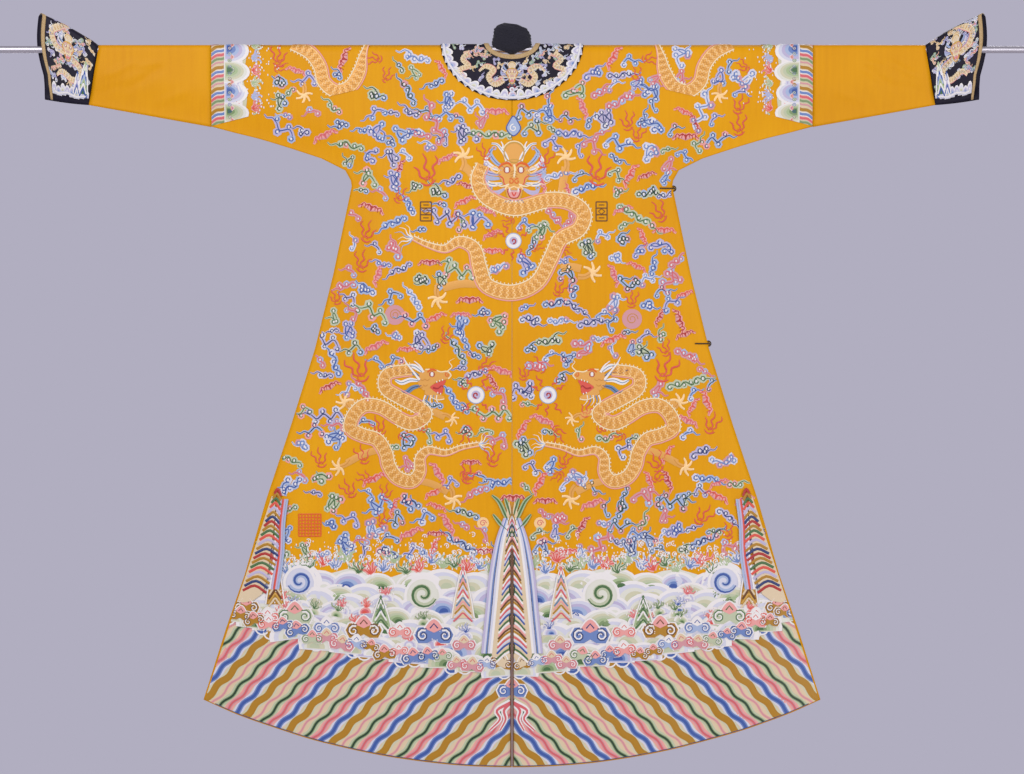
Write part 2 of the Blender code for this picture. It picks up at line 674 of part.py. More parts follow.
def make_toggles(collection, gilt, brown):
    """One toggle at the neck and two on the wearer's right edge, whose straps come from the back."""
    loop_lift = LOOP_CLEARANCE + LOOP_CORD / 2
    strap_lift = STRAP_CLEARANCE + STRAP_CORD / 2
    for word, level in SIDE_TOGGLE_LEVELS.items():
        edge = half_width_at(level)
        drop = drop_of(level)
        front = cloth_point(edge, drop, 1, overlap_layer).y + loop_lift
        centre = Vector((edge + SIDE_TOGGLE_OUT, front, level))
        tail_ends = []
        for along in TAIL_PLACES:
            tail_ends.append((along, cloth_point(centre.x - along, drop, 1, overlap_layer).y + loop_lift))
        strap = []
        for along in STRAP_PLACES:
            back = cloth_point(edge - along, drop, -1).y
            strap.append(Vector((edge - along, back - strap_lift, level)))
        strap.append(Vector((edge + 0.7 * STRAP_TURN, -PRESSED - MM, level)))
        strap.append(Vector((edge + STRAP_TURN, PRESSED, level)))
        strap.append(Vector((edge + STRAP_TURN, front - STRAP_FOOT, level)))
        make_toggle(word, centre, Vector((-1, 0, 0)), tail_ends, strap, collection, gilt, brown)
    band = TRIM_GAP + TRIM_WALL
    front = cloth_point(NECK_TOGGLE_X, drop_of(NECK_TOGGLE_LEVEL), 1, overlap_layer).y + band + loop_lift
    centre = Vector((NECK_TOGGLE_X, front, NECK_TOGGLE_LEVEL))
    tail_ends = [(along, front + NECK_TAIL_LIFT) for along in TAIL_PLACES]
    inner = cloth_point(NECK_TOGGLE_X, drop_of(NECK_TOGGLE_LEVEL), 1).y + strap_lift
    above = NECK_TOGGLE_LEVEL + NECK_STRAP_RISE
    strap = [Vector((NECK_TOGGLE_X, inner, above + STRAP_LENGTH)),
             Vector((NECK_TOGGLE_X, inner, above + 7 * MM)),
             Vector((NECK_TOGGLE_X, front - 2 * STRAP_FOOT, above + 0.8 * MM)),
             Vector((NECK_TOGGLE_X, front - STRAP_FOOT, above))]
    make_toggle("neck", centre, Vector((0, 0, -1)), tail_ends, strap, collection, gilt, brown)


def main():
    for leftover in list(bpy.data.objects):
        bpy.data.objects.remove(leftover, do_unlink=True)
    collection = bpy.data.collections.new("dragon_robe")
    cutters = bpy.data.collections.new("cutters")
    for group in (collection, cutters):
        bpy.context.scene.collection.children.link(group)
    silk = make_material("yellow_silk_satin", YELLOW_SILK, 0.5)
    navy = make_material("navy_silk_satin", NAVY_SILK, 0.5)
    braid = make_material("gold_braid", GOLD_BRAID, 0.55)
    metal = make_material("grey_metal", GREY_METAL, 0.35, 1.0)
    cotton = make_material("dark_cotton", DARK_COTTON, 0.85)
    gilt = make_material("gilt_brass", GILT_BRASS, 0.3, 1.0)
    brown = make_material("brown_silk_cord", BROWN_CORD, 0.6)
    make_rod(collection, metal)
    make_neck_wrap(collection, cutters, cotton)
    make_body(collection, silk)
    make_sleeves(collection, silk, navy, braid)
    make_collar(collection, navy, braid)
    make_toggles(collection, gilt, brown)


main()
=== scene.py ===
import math
import random

import bmesh
import bpy
import numpy as np
from mathutils import Matrix, Vector


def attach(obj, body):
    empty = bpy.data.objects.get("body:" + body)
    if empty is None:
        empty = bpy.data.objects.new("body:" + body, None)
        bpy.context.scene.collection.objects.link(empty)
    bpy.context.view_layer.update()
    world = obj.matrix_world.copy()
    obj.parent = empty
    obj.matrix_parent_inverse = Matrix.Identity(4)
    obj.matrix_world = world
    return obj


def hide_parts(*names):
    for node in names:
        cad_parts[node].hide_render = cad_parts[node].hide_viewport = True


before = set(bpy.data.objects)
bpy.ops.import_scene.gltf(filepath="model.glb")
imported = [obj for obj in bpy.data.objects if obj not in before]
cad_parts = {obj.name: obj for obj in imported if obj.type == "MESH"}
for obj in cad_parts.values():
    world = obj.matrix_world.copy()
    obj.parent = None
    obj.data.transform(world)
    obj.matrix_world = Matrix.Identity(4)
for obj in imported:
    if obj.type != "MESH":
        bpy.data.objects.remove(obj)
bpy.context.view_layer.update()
mm = 0.001


# Camera, lights and floor

studio = {
    "lens": 100,
    "distance": 5.70,
    "eyeLevel": -0.676,
    "floorLevel": -1.78,
    "wallColour": "B1AEC0",
    "floorColour": "C9C6CC",
    "worldLight": (0.62, 0.61, 0.66, 1),
    "worldStrength": 0.62,
    "lampTarget": (0, 0, -0.65),
    # name, place, size and watts of each lamp
    "lamps": [("keyLamp", (-1.6, -4.6, 1.4), 2.6, 118), ("fillLamp", (2.4, -4.2, -0.4), 2.6, 62),
              ("farKeyLamp", (1.8, 4.4, 1.6), 2.6, 110), ("farFillLamp", (-2.6, 4.0, -0.2), 2.4, 55)],
}


def toLinear(colour):
    # sRGB hex to the linear values that the shaders take
    parts = [int(colour[i:i + 2], 16) / 255 for i in (0, 2, 4)]
    return tuple(c / 12.92 if c <= 0.04045 else ((c + 0.055) / 1.055) ** 2.4 for c in parts)


def addNode(material, kind, settings=None, **links):
    # settings go to the node's own values or to its sockets, links join sockets by name
    node = material.node_tree.nodes.new(kind)
    for name, value in (settings or {}).items():
        if isinstance(name, int) or name in node.inputs:
            node.inputs[name].default_value = value
        else:
            setattr(node, name, value)
    for name, source in links.items():
        material.node_tree.links.new(source, node.inputs[name])
    return node


def aimAt(thing, target):
    thing.rotation_euler = (Vector(target) - thing.location).to_track_quat("-Z", "Y").to_euler()


def makeCamera():
    camera = bpy.data.objects.new("studioCamera", bpy.data.cameras.new("studioCamera"))
    bpy.context.scene.collection.objects.link(camera)
    camera.data.lens = studio["lens"]
    camera.location = (0, -studio["distance"], studio["eyeLevel"])
    camera.rotation_euler = (math.pi / 2, 0, 0)
    camera.data.clip_end = 60
    bpy.context.scene.camera = camera


def addLamp(name, where, size, power):
    lamp = bpy.data.lights.new(name, "AREA")
    lamp.shape = "SQUARE"
    lamp.size = size
    lamp.energy = power
    holder = bpy.data.objects.new(name, lamp)
    bpy.context.scene.collection.objects.link(holder)
    holder.location = where
    aimAt(holder, studio["lampTarget"])


def makeStudio():
    makeCamera()
    for lamp in studio["lamps"]:
        addLamp(*lamp)
    world = bpy.data.worlds.new("studio")
    bpy.context.scene.world = world
    world.use_nodes = True
    tree = world.node_tree
    lit = tree.nodes["Background"]
    lit.inputs["Color"].default_value = studio["worldLight"]
    lit.inputs["Strength"].default_value = studio["worldStrength"]
    seen = tree.nodes.new("ShaderNodeBackground")
    seen.inputs["Color"].default_value = (*toLinear(studio["wallColour"]), 1)
    rays = tree.nodes.new("ShaderNodeLightPath")
    choice = tree.nodes.new("ShaderNodeMixShader")
    tree.links.new(rays.outputs["Is Camera Ray"], choice.inputs["Fac"])
    tree.links.new(lit.outputs[0], choice.inputs[1])
    tree.links.new(seen.outputs[0], choice.inputs[2])
    tree.links.new(choice.outputs[0], tree.nodes["World Output"].inputs["Surface"])
    bpy.context.scene.view_settings.view_transform = "Standard"
    floor = bmesh.new()
    bmesh.ops.create_grid(floor, x_segments=1, y_segments=1, size=2)
    mesh = bpy.data.meshes.new("floor")
    floor.to_mesh(mesh)
    floor.free()
    mesh.transform(Matrix.Translation((0, 0, studio["floorLevel"])))
    paper = bpy.data.materials.new("matteFloorPaint")
    paper.use_nodes = True
    shader = paper.node_tree.nodes["Principled BSDF"]
    shader.inputs["Base Color"].default_value = (*toLinear(studio["floorColour"]), 1)
    shader.inputs["Roughness"].default_value = 0.9
    mesh.materials.append(paper)
    ground = bpy.data.objects.new("floor", mesh)
    bpy.context.scene.collection.objects.link(ground)


makeStudio()
print("studio made")


# Materials

def newMaterial(name, colour, roughness, metallic=0.0):
    material = bpy.data.materials.new(name)
    material.use_nodes = True
    shader = material.node_tree.nodes["Principled BSDF"]
    shader.inputs["Base Color"].default_value = (*toLinear(colour), 1)
    shader.inputs["Roughness"].default_value = roughness
    shader.inputs["Metallic"].default_value = metallic
    material.diffuse_color = (*toLinear(colour), 1)
    return material, shader


def makeSilkSatin(name, colour, shade, sheen):
    # woven silk satin, floats along the length: a soft lustre painted into the colour as long faint streaks, no
    # sharp gloss
    material, shader = newMaterial(name, colour, 0.5)
    shader.inputs["Sheen Weight"].default_value = sheen
    shader.inputs["Sheen Roughness"].default_value = 0.4
    shader.inputs["Sheen Tint"].default_value = (*toLinear("FFE9B0"), 1)
    shader.inputs["Specular IOR Level"].default_value = 0.15
    spot = addNode(material, "ShaderNodeTexCoord").outputs["Object"]
    # painted sheen: lighter and darker streaks of the satin's lustre, 6 mm wide across, 120 mm long
    long = addNode(material, "ShaderNodeMapping", {"Scale": (160, 160, 8)}, Vector=spot)
    paintedSheenStreaks = addNode(material, "ShaderNodeTexNoise", {"Scale": 1.0, "Detail": 3.0}, Vector=long.outputs[0])
    # faded and handled areas, 250 mm across
    worn = addNode(material, "ShaderNodeTexNoise", {"Scale": 4.0, "Detail": 2.0}, Vector=spot)
    # the colour ramp mixes the painted sheen streaks with the faded and handled areas
    paintedSheenAndWear = addNode(material, "ShaderNodeMath", {"operation": "MULTIPLY_ADD", 1: 0.5},
                   Value=paintedSheenStreaks.outputs["Fac"])
    material.node_tree.links.new(worn.outputs["Fac"], paintedSheenAndWear.inputs[2])
    tint = addNode(material, "ShaderNodeValToRGB", None, Fac=paintedSheenAndWear.outputs[0])
    tint.color_ramp.elements[0].position = 0.45
    tint.color_ramp.elements[0].color = (*toLinear(shade), 1)
    tint.color_ramp.elements[1].position = 1.0
    tint.color_ramp.elements[1].color = (*toLinear(colour), 1)
    material.node_tree.links.new(tint.outputs[0], shader.inputs["Base Color"])
    # threads at 0.12 mm are too fine to show: the weave is drawn 1.6 mm apart
    fine = addNode(material, "ShaderNodeMapping", {"Scale": (620, 620, 240)}, Vector=spot)
    weave = addNode(material, "ShaderNodeTexNoise", {"Scale": 1.0, "Detail": 2.0}, Vector=fine.outputs[0])
    bump = addNode(material, "ShaderNodeBump", {"Strength": 0.12, "Distance": 0.0004},
                   Height=weave.outputs["Fac"])
    material.node_tree.links.new(bump.outputs[0], shader.inputs["Normal"])
    return material


threadColours = {
    "white": "EDE7E6", "cream": "F6E0B8", "lavender": "BDB3D2", "paleBlue": "A6B5D6", "blue": "3C58A0",
    "deepBlue": "2A3A70", "green": "4A6E42", "paleGreen": "A8BA8E", "darkGreen": "233D2C", "sage": "CFCBAE",
    "beige": "DEC7A6", "coral": "DC5446", "pink": "EAA09C", "red": "B02E2C", "ochre": "B17E1C",
    "mauve": "D2959C", "peach": "E0A250", "peachDark": "C98534", "peachLight": "F8CD92", "orange": "E2641C",
    "slate": "6C86A8", "navy": "1A1728", "brown": "6A4020", "couchedGold": "C99A45",
    "mist": "DFDDD2", "mistBlue": "D3D2E2", "moss": "BEC4A6", "olive": "7F9468", "midBlue": "6C84BC",
    "rose": "D6626A",
}
threadMaterials = {}


def threadMaterial(thread):
    # floss silk in satin stitch: each colour flat, with a fine ribbed lustre across the stitches
    if thread not in threadMaterials:
        material, shader = newMaterial(thread + "SilkFloss", threadColours[thread], 0.42)
        shader.inputs["Sheen Weight"].default_value = 0.12
        shader.inputs["Specular IOR Level"].default_value = 0.35
        if thread in ("couchedGold", "peach", "peachLight"):
            # gilt paper wound on silk and couched down: a low metallic glint
            shader.inputs["Metallic"].default_value = 0.15
        spot = addNode(material, "ShaderNodeTexCoord").outputs["Object"]
        # stitches 0.3 mm apart are drawn 1.2 mm apart so that they show
        rib = addNode(material, "ShaderNodeTexNoise", {"Scale": 800.0, "Detail": 1.0}, Vector=spot)
        bump = addNode(material, "ShaderNodeBump", {"Strength": 0.25, "Distance": 0.0004},
                       Height=rib.outputs["Fac"])
        material.node_tree.links.new(bump.outputs[0], shader.inputs["Normal"])
        threadMaterials[thread] = material
    return threadMaterials[thread]


def makePlainWeave(name, colour, shade, roughness, pitch, depth):
    # braid, cord or cotton: a crossed rib of that pitch, with painted shade darker between the threads
    material, shader = newMaterial(name, colour, roughness)
    shader.inputs["Sheen Weight"].default_value = 0.15
    spot = addNode(material, "ShaderNodeTexCoord").outputs["Object"]
    grain = addNode(material, "ShaderNodeTexVoronoi", {"Scale": 1 / pitch}, Vector=spot)
    # painted shade: the colour darkens from each thread's middle toward the gaps between threads
    tint = addNode(material, "ShaderNodeValToRGB", None, Fac=grain.outputs["Distance"])
    tint.color_ramp.elements[0].color = (*toLinear(colour), 1)
    tint.color_ramp.elements[1].color = (*toLinear(shade), 1)
    tint.color_ramp.elements[1].position = 0.8
    material.node_tree.links.new(tint.outputs[0], shader.inputs["Base Color"])
    bump = addNode(material, "ShaderNodeBump", {"Strength": 0.5, "Distance": depth, "invert": True},
                   Height=grain.outputs["Distance"])
    material.node_tree.links.new(bump.outputs[0], shader.inputs["Normal"])
    return material


def makeMetal(name, colour, roughness, streaks):
    # turned or drawn metal: fine marks along or around it break up the highlight
    material, shader = newMaterial(name, colour, roughness, 1.0)
    spot = addNode(material, "ShaderNodeTexCoord").outputs["Object"]
    stretched = addNode(material, "ShaderNodeMapping", {"Scale": streaks}, Vector=spot)
    marks = addNode(material, "ShaderNodeTexNoise", {"Scale": 1.0, "Detail": 3.0},
                    Vector=stretched.outputs[0])
    rough = addNode(material, "ShaderNodeMapRange", {"To Min": roughness - 0.08, "To Max": roughness + 0.12},
                    Value=marks.outputs["Fac"])
    material.node_tree.links.new(rough.outputs[0], shader.inputs["Roughness"])
    bump = addNode(material, "ShaderNodeBump", {"Strength": 0.12, "Distance": 0.0003},
                   Height=marks.outputs["Fac"])
    material.node_tree.links.new(bump.outputs[0], shader.inputs["Normal"])
    return material


bodySilk = makeSilkSatin("wovenYellowSilkSatin", "E8A404", "DE9602", 0.02)
sleeveSilk = makeSilkSatin("plainYellowSilkSatin", "E6A00A", "DA9208", 0.02)
navySilk = makeSilkSatin("wovenNavySilkSatin", "221D30", "171420", 0.06)
goldBraid = makePlainWeave("wovenGoldBraid", "D3B58A", "A98855", 0.6, 1.1 * mm, 0.0004)
brownCord = makePlainWeave("plaitedBrownSilkCord", "4A3420", "20160C", 0.6, 1.0 * mm, 0.0005)
darkCotton = makePlainWeave("woundDarkCotton", "262431", "141320", 0.95, 1.6 * mm, 0.0006)
giltBrass = makeMetal("castGiltBrass", "C79A4A", 0.34, (400, 400, 400))
rodMetal = makeMetal("drawnGreyMetal", "C9C4CE", 0.4, (12, 900, 900))
print("materials made")


# The cloth's form, as functions of a place on the flat robe

robe = {
    "crestRadius": 9.3 * mm,  # the cloth's outer face over the rod
    "wall": 1.6 * mm,
    "trimWall": 1.0 * mm,
    "seamGap": 0.3 * mm,
    "pressed": 1.75 * mm,
    "edgeRise": 80 * mm,
    "bodySwell": 7 * mm,
    "swellLength": 500 * mm,
    "lapStep": 4 * mm,
    "underlapEdge": 20 * mm,
    "sleeveSeam": 603 * mm,
    "hemCentre": -1436 * mm,
    "hemRise": 0.35,
    "skirtTop": -800 * mm,
    "ventTop": -1020 * mm,
    "ventHalfWidth": 0.4 * mm,
    "yoke": -155 * mm,
    "neckHalfWidth": 47 * mm,
    "backNeckDrop": 25.3 * mm,
    "frontNeckDrop": 89.3 * mm,
    "collarHalfWidth": 143 * mm,
    "backCollarDrop": 117.3 * mm,
    "frontCollarDrop": 159.3 * mm,
    "neckBinding": 9 * mm,
    "lapEdgeStart": -84 * mm,
    "lapBandWidth": 46 * mm,
    "lapBandShort": 30 * mm,
    "underarm": (320 * mm, -268 * mm),
    "topGap": 0.4 * mm,
}
arcLength = robe["crestRadius"] * math.pi / 2

# half width and level down the side, from the end of the sleeve
halfOutline = [
    (848, -111), (603, -155), (505, -179), (449, -196), (382, -218), (334, -242), (320, -268), (358, -450),
    (395, -600), (442, -750), (492, -900), (535, -1050), (573, -1160), (618, -1302),
]
halfOutline = [(x * mm, z * mm) for x, z in halfOutline]

# hanging folds: x at the top, slant, half width, height and top level, in mm
hangingFolds = [
    (95, 0.06, 60, 3.0, -420), (215, 0.16, 75, -3.5, -300), (300, 0.24, 55, 3.0, -700),
    (-110, -0.08, 70, -2.5, -500), (-205, -0.17, 70, 3.5, -260), (-290, -0.26, 60, -3.0, -650),
]
# soft creases pressed in by storage: the ends, half width and height, in mm
softCreases = [
    ((318, -262), (205, -180), 16, -2.0), ((330, -285), (236, -420), 18, 1.6),
    ((300, -248), (150, -250), 14, 1.2), ((-318, -262), (-215, -170), 17, -2.0),
    ((-332, -290), (-226, -440), 16, 1.7), ((-296, -246), (-160, -262), 15, 1.1),
    ((372, -640), (180, -655), 10, -1.1), ((-365, -600), (-200, -622), 11, -1.0),
    ((480, -905), (300, -880), 12, 1.1), ((-470, -870), (-280, -900), 12, 1.0),
    ((520, -120), (400, -60), 13, 1.3), ((-530, -128), (-410, -52), 13, 1.3),
    ((560, -60), (470, -100), 10, -1.2), ((-555, -70), (-480, -96), 10, -1.2),
    ((690, -30), (790, -92), 10, -2.2), ((640, -80), (730, -118), 12, 2.0), ((745, -20), (820, -60), 9, 2.0),
    ((728, -52), (762, -108), 8, -1.8), ((700, -24), (752, -36), 7, 1.6), ((770, -66), (835, -92), 7, -1.6),
    ((-670, -40), (-780, -96), 11, -2.2), ((-640, -100), (-720, -70), 11, 2.0),
    ((-760, -18), (-815, -70), 9, 2.0), ((-690, -112), (-770, -86), 7, 1.7),
    ((-640, -62), (-700, -84), 8, -1.6), ((-738, -34), (-800, -40), 7, -1.5),
    ((80, -640), (86, -900), 12, 1.0), ((-60, -560), (-84, -840), 13, -1.0),
]


def mix(first, last, share):
    return first + (last - first) * share


def ease(share):
    share = np.clip(share, 0, 1)
    return share * share * (3 - 2 * share)


def edgeDistance(x, z):
    across = np.abs(x)
    nearest = np.ones_like(across)
    for (x0, z0), (x1, z1) in zip(halfOutline, halfOutline[1:]):
        dx, dz = x1 - x0, z1 - z0
        share = np.clip(((across - x0) * dx + (z - z0) * dz) / (dx * dx + dz * dz), 0, 1)
        nearest = np.minimum(nearest, np.hypot(across - x0 - share * dx, z - z0 - share * dz))
    return nearest


def foldHeight(x, z):
    height = np.zeros_like(x)
    for foldX, slant, halfWidth, rise, top in hangingFolds:
        down = top * mm - z
        away = np.clip((x - foldX * mm - slant * down) / (halfWidth * mm), -1, 1)
        height += rise * mm * (1 - away * away) ** 2 * ease(down / 0.25)
    for (x0, z0), (x1, z1), halfWidth, rise in softCreases:
        start, along = complex(x0, z0) * mm, complex(x1 - x0, z1 - z0) * mm
        offset = ((x - start.real) + 1j * (z - start.imag)) * along.conjugate() / abs(along)
        share = offset.real / abs(along)
        away = np.clip(offset.imag / (halfWidth * mm), -1, 1)
        height += rise * mm * (1 - away * away) ** 2 * ease(4 * share) * ease(4 * (1 - share))
    return height * ease(-z / 0.03)


def halfDepth(x, z):
    # distance of the outer face from the middle plane below the rod
    full = robe["crestRadius"] + robe["bodySwell"] * ease(-z / robe["swellLength"]) + foldHeight(x, z)
    return mix(robe["pressed"], full, ease(edgeDistance(x, z) / robe["edgeRise"]))


def ventGap(level):
    # how far a centre edge stands from the seam line
    return robe["ventHalfWidth"] * ease((robe["ventTop"] - level) / (robe["ventTop"] - robe["hemCentre"]))


def hemCurve(level):
    # 0 above the skirt and 1 at the hem, where the rows follow the hem's curve
    return ease((robe["skirtTop"] - level) / (robe["skirtTop"] - halfOutline[-1][1]))


def lapEdge(x):
    share = np.clip(x / robe["underarm"][0], 0, 1)
    return mix(robe["lapEdgeStart"], robe["underarm"][1], 0.35 * share + 0.65 * share ** 2.2)


def backLayer(x, z):
    return np.zeros_like(x)


def leftLayer(x, z):
    return robe["lapStep"] * ease(-z / 0.06) * (1 - ease(np.abs(x) / 0.3))


def overlapLayer(x, z):
    return np.full_like(x, robe["lapStep"])


def frontLayer(x, z):
    onLap = np.where(z < lapEdge(x), robe["lapStep"], 0.0)
    return np.where(x < 0, leftLayer(x, z), onLap)


def clothPoints(x, v, facing, lift=0.0, layer=backLayer):
    # v is the level below the rod's axis, and above it the length of cloth wound up over the rod
    x, v = np.asarray(x, float), np.asarray(v, float)
    angle = (arcLength - v) / robe["crestRadius"]
    radius = robe["crestRadius"] + lift
    below = np.minimum(v, 0)
    depth = np.where(v > 0, radius * np.sin(angle), halfDepth(x, below) + lift + layer(x, below))
    level = np.where(v > 0, radius * np.cos(angle), v)
    return np.stack([x, facing * depth, level], axis=-1)


# Sheets of cloth: a grid laid out on the flat cut, then put in its place on the form

def newPiece(name, mesh, materials):
    for material in materials:
        mesh.materials.append(material)
    piece = bpy.data.objects.new(name, mesh)
    bpy.context.scene.collection.objects.link(piece)
    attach(piece, "root")
    return piece


def clothSheet(name, columns, rows, layout, wrap, wall, material):
    sheet = bmesh.new()
    bmesh.ops.create_grid(sheet, x_segments=columns, y_segments=rows, size=0.5)
    mesh = bpy.data.meshes.new(name)
    sheet.to_mesh(mesh)
    sheet.free()
    flat = np.empty(len(mesh.vertices) * 3)
    mesh.vertices.foreach_get("co", flat)
    flat = flat.reshape(-1, 3)
    x, v = layout(flat[:, 0] + 0.5, 0.5 - flat[:, 1])
    mesh.vertices.foreach_set("co", wrap(x, v).ravel())
    mesh.update()
    turned = sum(f.normal.dot(Vector((0, f.center.y, max(0, f.center.z)))) * f.area for f in mesh.polygons)
    if turned < 0:
        mesh.flip_normals()
    mesh.shade_smooth()
    piece = newPiece(name, mesh, [material])
    solid = piece.modifiers.new("wall", "SOLIDIFY")
    solid.thickness = wall
    solid.offset = -1
    return piece


sideRows = [(0, robe["yoke"])] + [(x, z) for x, z in halfOutline[2:]]
rowLengths = [0.0]
for (x0, z0), (x1, z1) in zip([(0, 0)] + sideRows, sideRows):
    rowLengths.append(rowLengths[-1] + abs(z1 - z0) + 0.25 * (abs(x1 - x0) if x0 else 0))
rowShares = [length / rowLengths[-1] for length in rowLengths]
# the neck needs closer columns than the rest of the yoke
columnShares = [0, 0.22, 1]
columnPlaces = [0, 52 * mm / robe["sleeveSeam"], 1]


def topLevel(x, drop):
    # upper edge of a panel: the half ellipse of the neck, or just short of the crest
    if drop is None:
        return np.full_like(x, arcLength - robe["topGap"])
    hidden = 1.5 * mm  # the cut edge lies under the neck's binding
    inside = np.clip(1 - (x / (robe["neckHalfWidth"] + hidden)) ** 2, 0, 1)
    return arcLength - np.maximum(robe["topGap"], (drop + hidden) * np.sqrt(inside))


def bodyLayout(side, drop, inner=None):
    inner = robe["seamGap"] / 2 if inner is None else inner

    def layout(across, down):
        share = np.interp(across, columnShares, columnPlaces)
        halfWidth = np.interp(down, rowShares[1:], [robe["sleeveSeam"]] + [x for x, z in sideRows[1:]])
        level = np.interp(down, rowShares[1:], [z for x, z in sideRows])
        onYoke = down <= rowShares[1]
        x = np.maximum(inner, (robe["sleeveSeam"] - robe["seamGap"] / 2) * share)
        top = topLevel(x, drop)
        yokeLevel = mix(top, robe["yoke"], np.clip(down / rowShares[1], 0, 1))
        lower = mix(inner, halfWidth, share)
        curve = hemCurve(level)
        lowerLevel = level + curve * robe["hemRise"] * (lower ** 2 - halfWidth ** 2)
        lowerLevel += curve * (robe["hemCentre"] + robe["hemRise"] * halfWidth ** 2 - level) * (down > 0.999)
        lower = lower + ventGap(lowerLevel) * (1 - share)
        return side * np.where(onYoke, x, lower), np.where(onYoke, yokeLevel, lowerLevel)
    return layout


def lapLayout(across, down):
    # the overlap starts at its slanting edge and runs to the hem
    share = across
    width = robe["underarm"][0]
    halfWidth = np.interp(down, lapShares, [x for x, z in lapRows])
    level = np.interp(down, lapShares, [z for x, z in lapRows])
    x = mix(robe["seamGap"] / 2, halfWidth - robe["seamGap"], share)
    lowered = level + hemCurve(level) * robe["hemRise"] * (x ** 2 - halfWidth ** 2)
    # the first rows fan out from the slanting edge to the level rows
    fan = np.clip(down / lapShares[1], 0, 1)
    top = lapEdge(width * share)
    firstX = mix((width - robe["seamGap"]) * share, x, fan)
    v = np.where(down < lapShares[1], mix(top, lapRows[1][1], fan), lowered)
    return np.where(down < lapShares[1], firstX, x) + ventGap(v) * (1 - share), v


lapRows = [robe["underarm"]] + [row for row in halfOutline if row[1] < robe["underarm"][1]]
lapShares = [(robe["underarm"][1] - z) / (robe["underarm"][1] - halfOutline[-1][1]) for x, z in lapRows]


def panelWrap(facing, layer, lift=0.0):
    def wrap(x, v):
        return clothPoints(x, v, facing, lift, layer)
    return wrap


# columns and rows of faces in each kind of sheet
grids = {
    "body": (62, 120), "overlap": (60, 120), "sleeve": (26, 60), "cuff": (20, 60), "cuffBraid": (3, 60),
    "lapBand": (50, 8), "collarRows": 14, "neckBraidRows": 4,
}


def makePanels():
    for name, side, facing, drop, layer, inner in (
            ("back_left", -1, -1, robe["backNeckDrop"], backLayer, None),
            ("back_right", 1, -1, robe["backNeckDrop"], backLayer, None),
            ("front_left", -1, 1, robe["frontNeckDrop"], leftLayer, None),
            ("front_right", 1, 1, robe["frontNeckDrop"], backLayer, robe["underlapEdge"])):
        layout = bodyLayout(side, drop, inner)
        piece = clothSheet("cloth_" + name, *grids["body"], layout, panelWrap(facing, layer), robe["wall"],
                           bodySilk)
        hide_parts(name)
    piece = clothSheet("cloth_front_overlap", *grids["overlap"], lapLayout, panelWrap(1, overlapLayer),
                       robe["wall"], bodySilk)
    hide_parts("front_overlap")


makePanels()
print("body panels made")


# Sleeves and cuffs

cuff = {
    "sections": [(828, 9.3, 848, -111, 9.3), (885, 45, 888, -107, 8), (938, 72, 924, -100, 6)],  # mm
    "bulge": 8 * mm,
    "farReach": 12 * mm,
    "edgeRise": 35 * mm,
    "fullDepth": 12 * mm,
    "bindingStart": 0.93,
}
# around a sleeve: from the back's lower edge over the rod to the front's, the turn in the middle fifth
wallPart = 0.4


def aroundSleeve(around):
    # the side it is on, its share down the wall, and its angle over the top
    back, front = around < wallPart, around > 1 - wallPart
    down = np.where(back, 1 - around / wallPart, np.where(front, (around - 1 + wallPart) / wallPart, 0))
    angle = np.interp(around, [wallPart, 1 - wallPart], [-math.pi / 2, math.pi / 2])
    return back, front, down, angle


def sleevePoints(side):
    def wrap(along, around):
        back, front, down, angle = aroundSleeve(around)
        gap = robe["seamGap"] / 2
        start = robe["sleeveSeam"] + gap
        top, bottom = (cuff["sections"][0][i] * mm - gap for i in (0, 2))
        x = mix(start, mix(top, bottom, down), along)
        low = np.interp(x, [603 * mm, 848 * mm], [-155 * mm, -111 * mm])
        level = low * down
        wall = halfDepth(x, np.minimum(level, 0))
        onWall = back | front
        radius = robe["crestRadius"]
        y = np.where(onWall, np.where(back, -1, 1) * wall, radius * np.sin(angle))
        z = np.where(onWall, level, radius * np.cos(angle))
        return np.stack([side * x, y, z], axis=-1)
    return wrap


def cuffSizes(share):
    weights = ((1 - share) * (1 - 2 * share), 4 * share * (1 - share), share * (2 * share - 1))
    return [sum(w * row[i] * mm for w, row in zip(weights, cuff["sections"])) for i in range(5)]


def cuffPoints(side, lift=0.0, first=0.0):
    def wrap(along, around):
        share = mix(first, 1.0, along)
        topX, topZ, bottomX, bottomZ, crest = cuffSizes(share)
        back, front, wallShare, angle = aroundSleeve(around)
        centre = topZ - crest
        full = mix(robe["crestRadius"], cuff["fullDepth"], ease(share))
        onWall = back | front
        level = np.where(onWall, mix(centre, bottomZ, wallShare), centre + (crest + lift) * np.cos(angle))
        rise = ease((level - bottomZ) / cuff["edgeRise"])
        toward = np.where(onWall, np.where(back, -1, 1), np.sin(angle))
        depth = np.where(onWall, toward * (mix(robe["pressed"], full, rise) + lift), (full + lift) * toward)
        down = np.clip((topZ - level) / (topZ - bottomZ), 0, 1)
        x = mix(topX, bottomX, down) + robe["seamGap"] / 2
        x += share ** 2 * (cuff["bulge"] * np.sin(math.pi * np.minimum(1, down * 1.4))
                           + cuff["farReach"] * (toward + 1) / 2)
        return np.stack([side * x, depth, level], axis=-1)
    return wrap


def straightLayout(across, down):
    return across, down


def makeSleeves():
    for word, side in (("left", -1), ("right", 1)):
        sleeve = clothSheet("cloth_sleeve_" + word, *grids["sleeve"], straightLayout, sleevePoints(side),
                            robe["wall"], sleeveSilk)
        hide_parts("sleeve_" + word)
        hoof = clothSheet("cloth_cuff_" + word, *grids["cuff"], straightLayout, cuffPoints(side),
                          robe["wall"], navySilk)
        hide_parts("cuff_" + word)
        lift = robe["seamGap"] + robe["trimWall"]
        edge = clothSheet("braid_cuff_" + word, *grids["cuffBraid"], straightLayout,
                          cuffPoints(side, lift, cuff["bindingStart"]), robe["trimWall"], goldBraid)
        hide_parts("cuff_binding_" + word)


makeSleeves()
print("sleeves and cuffs made")


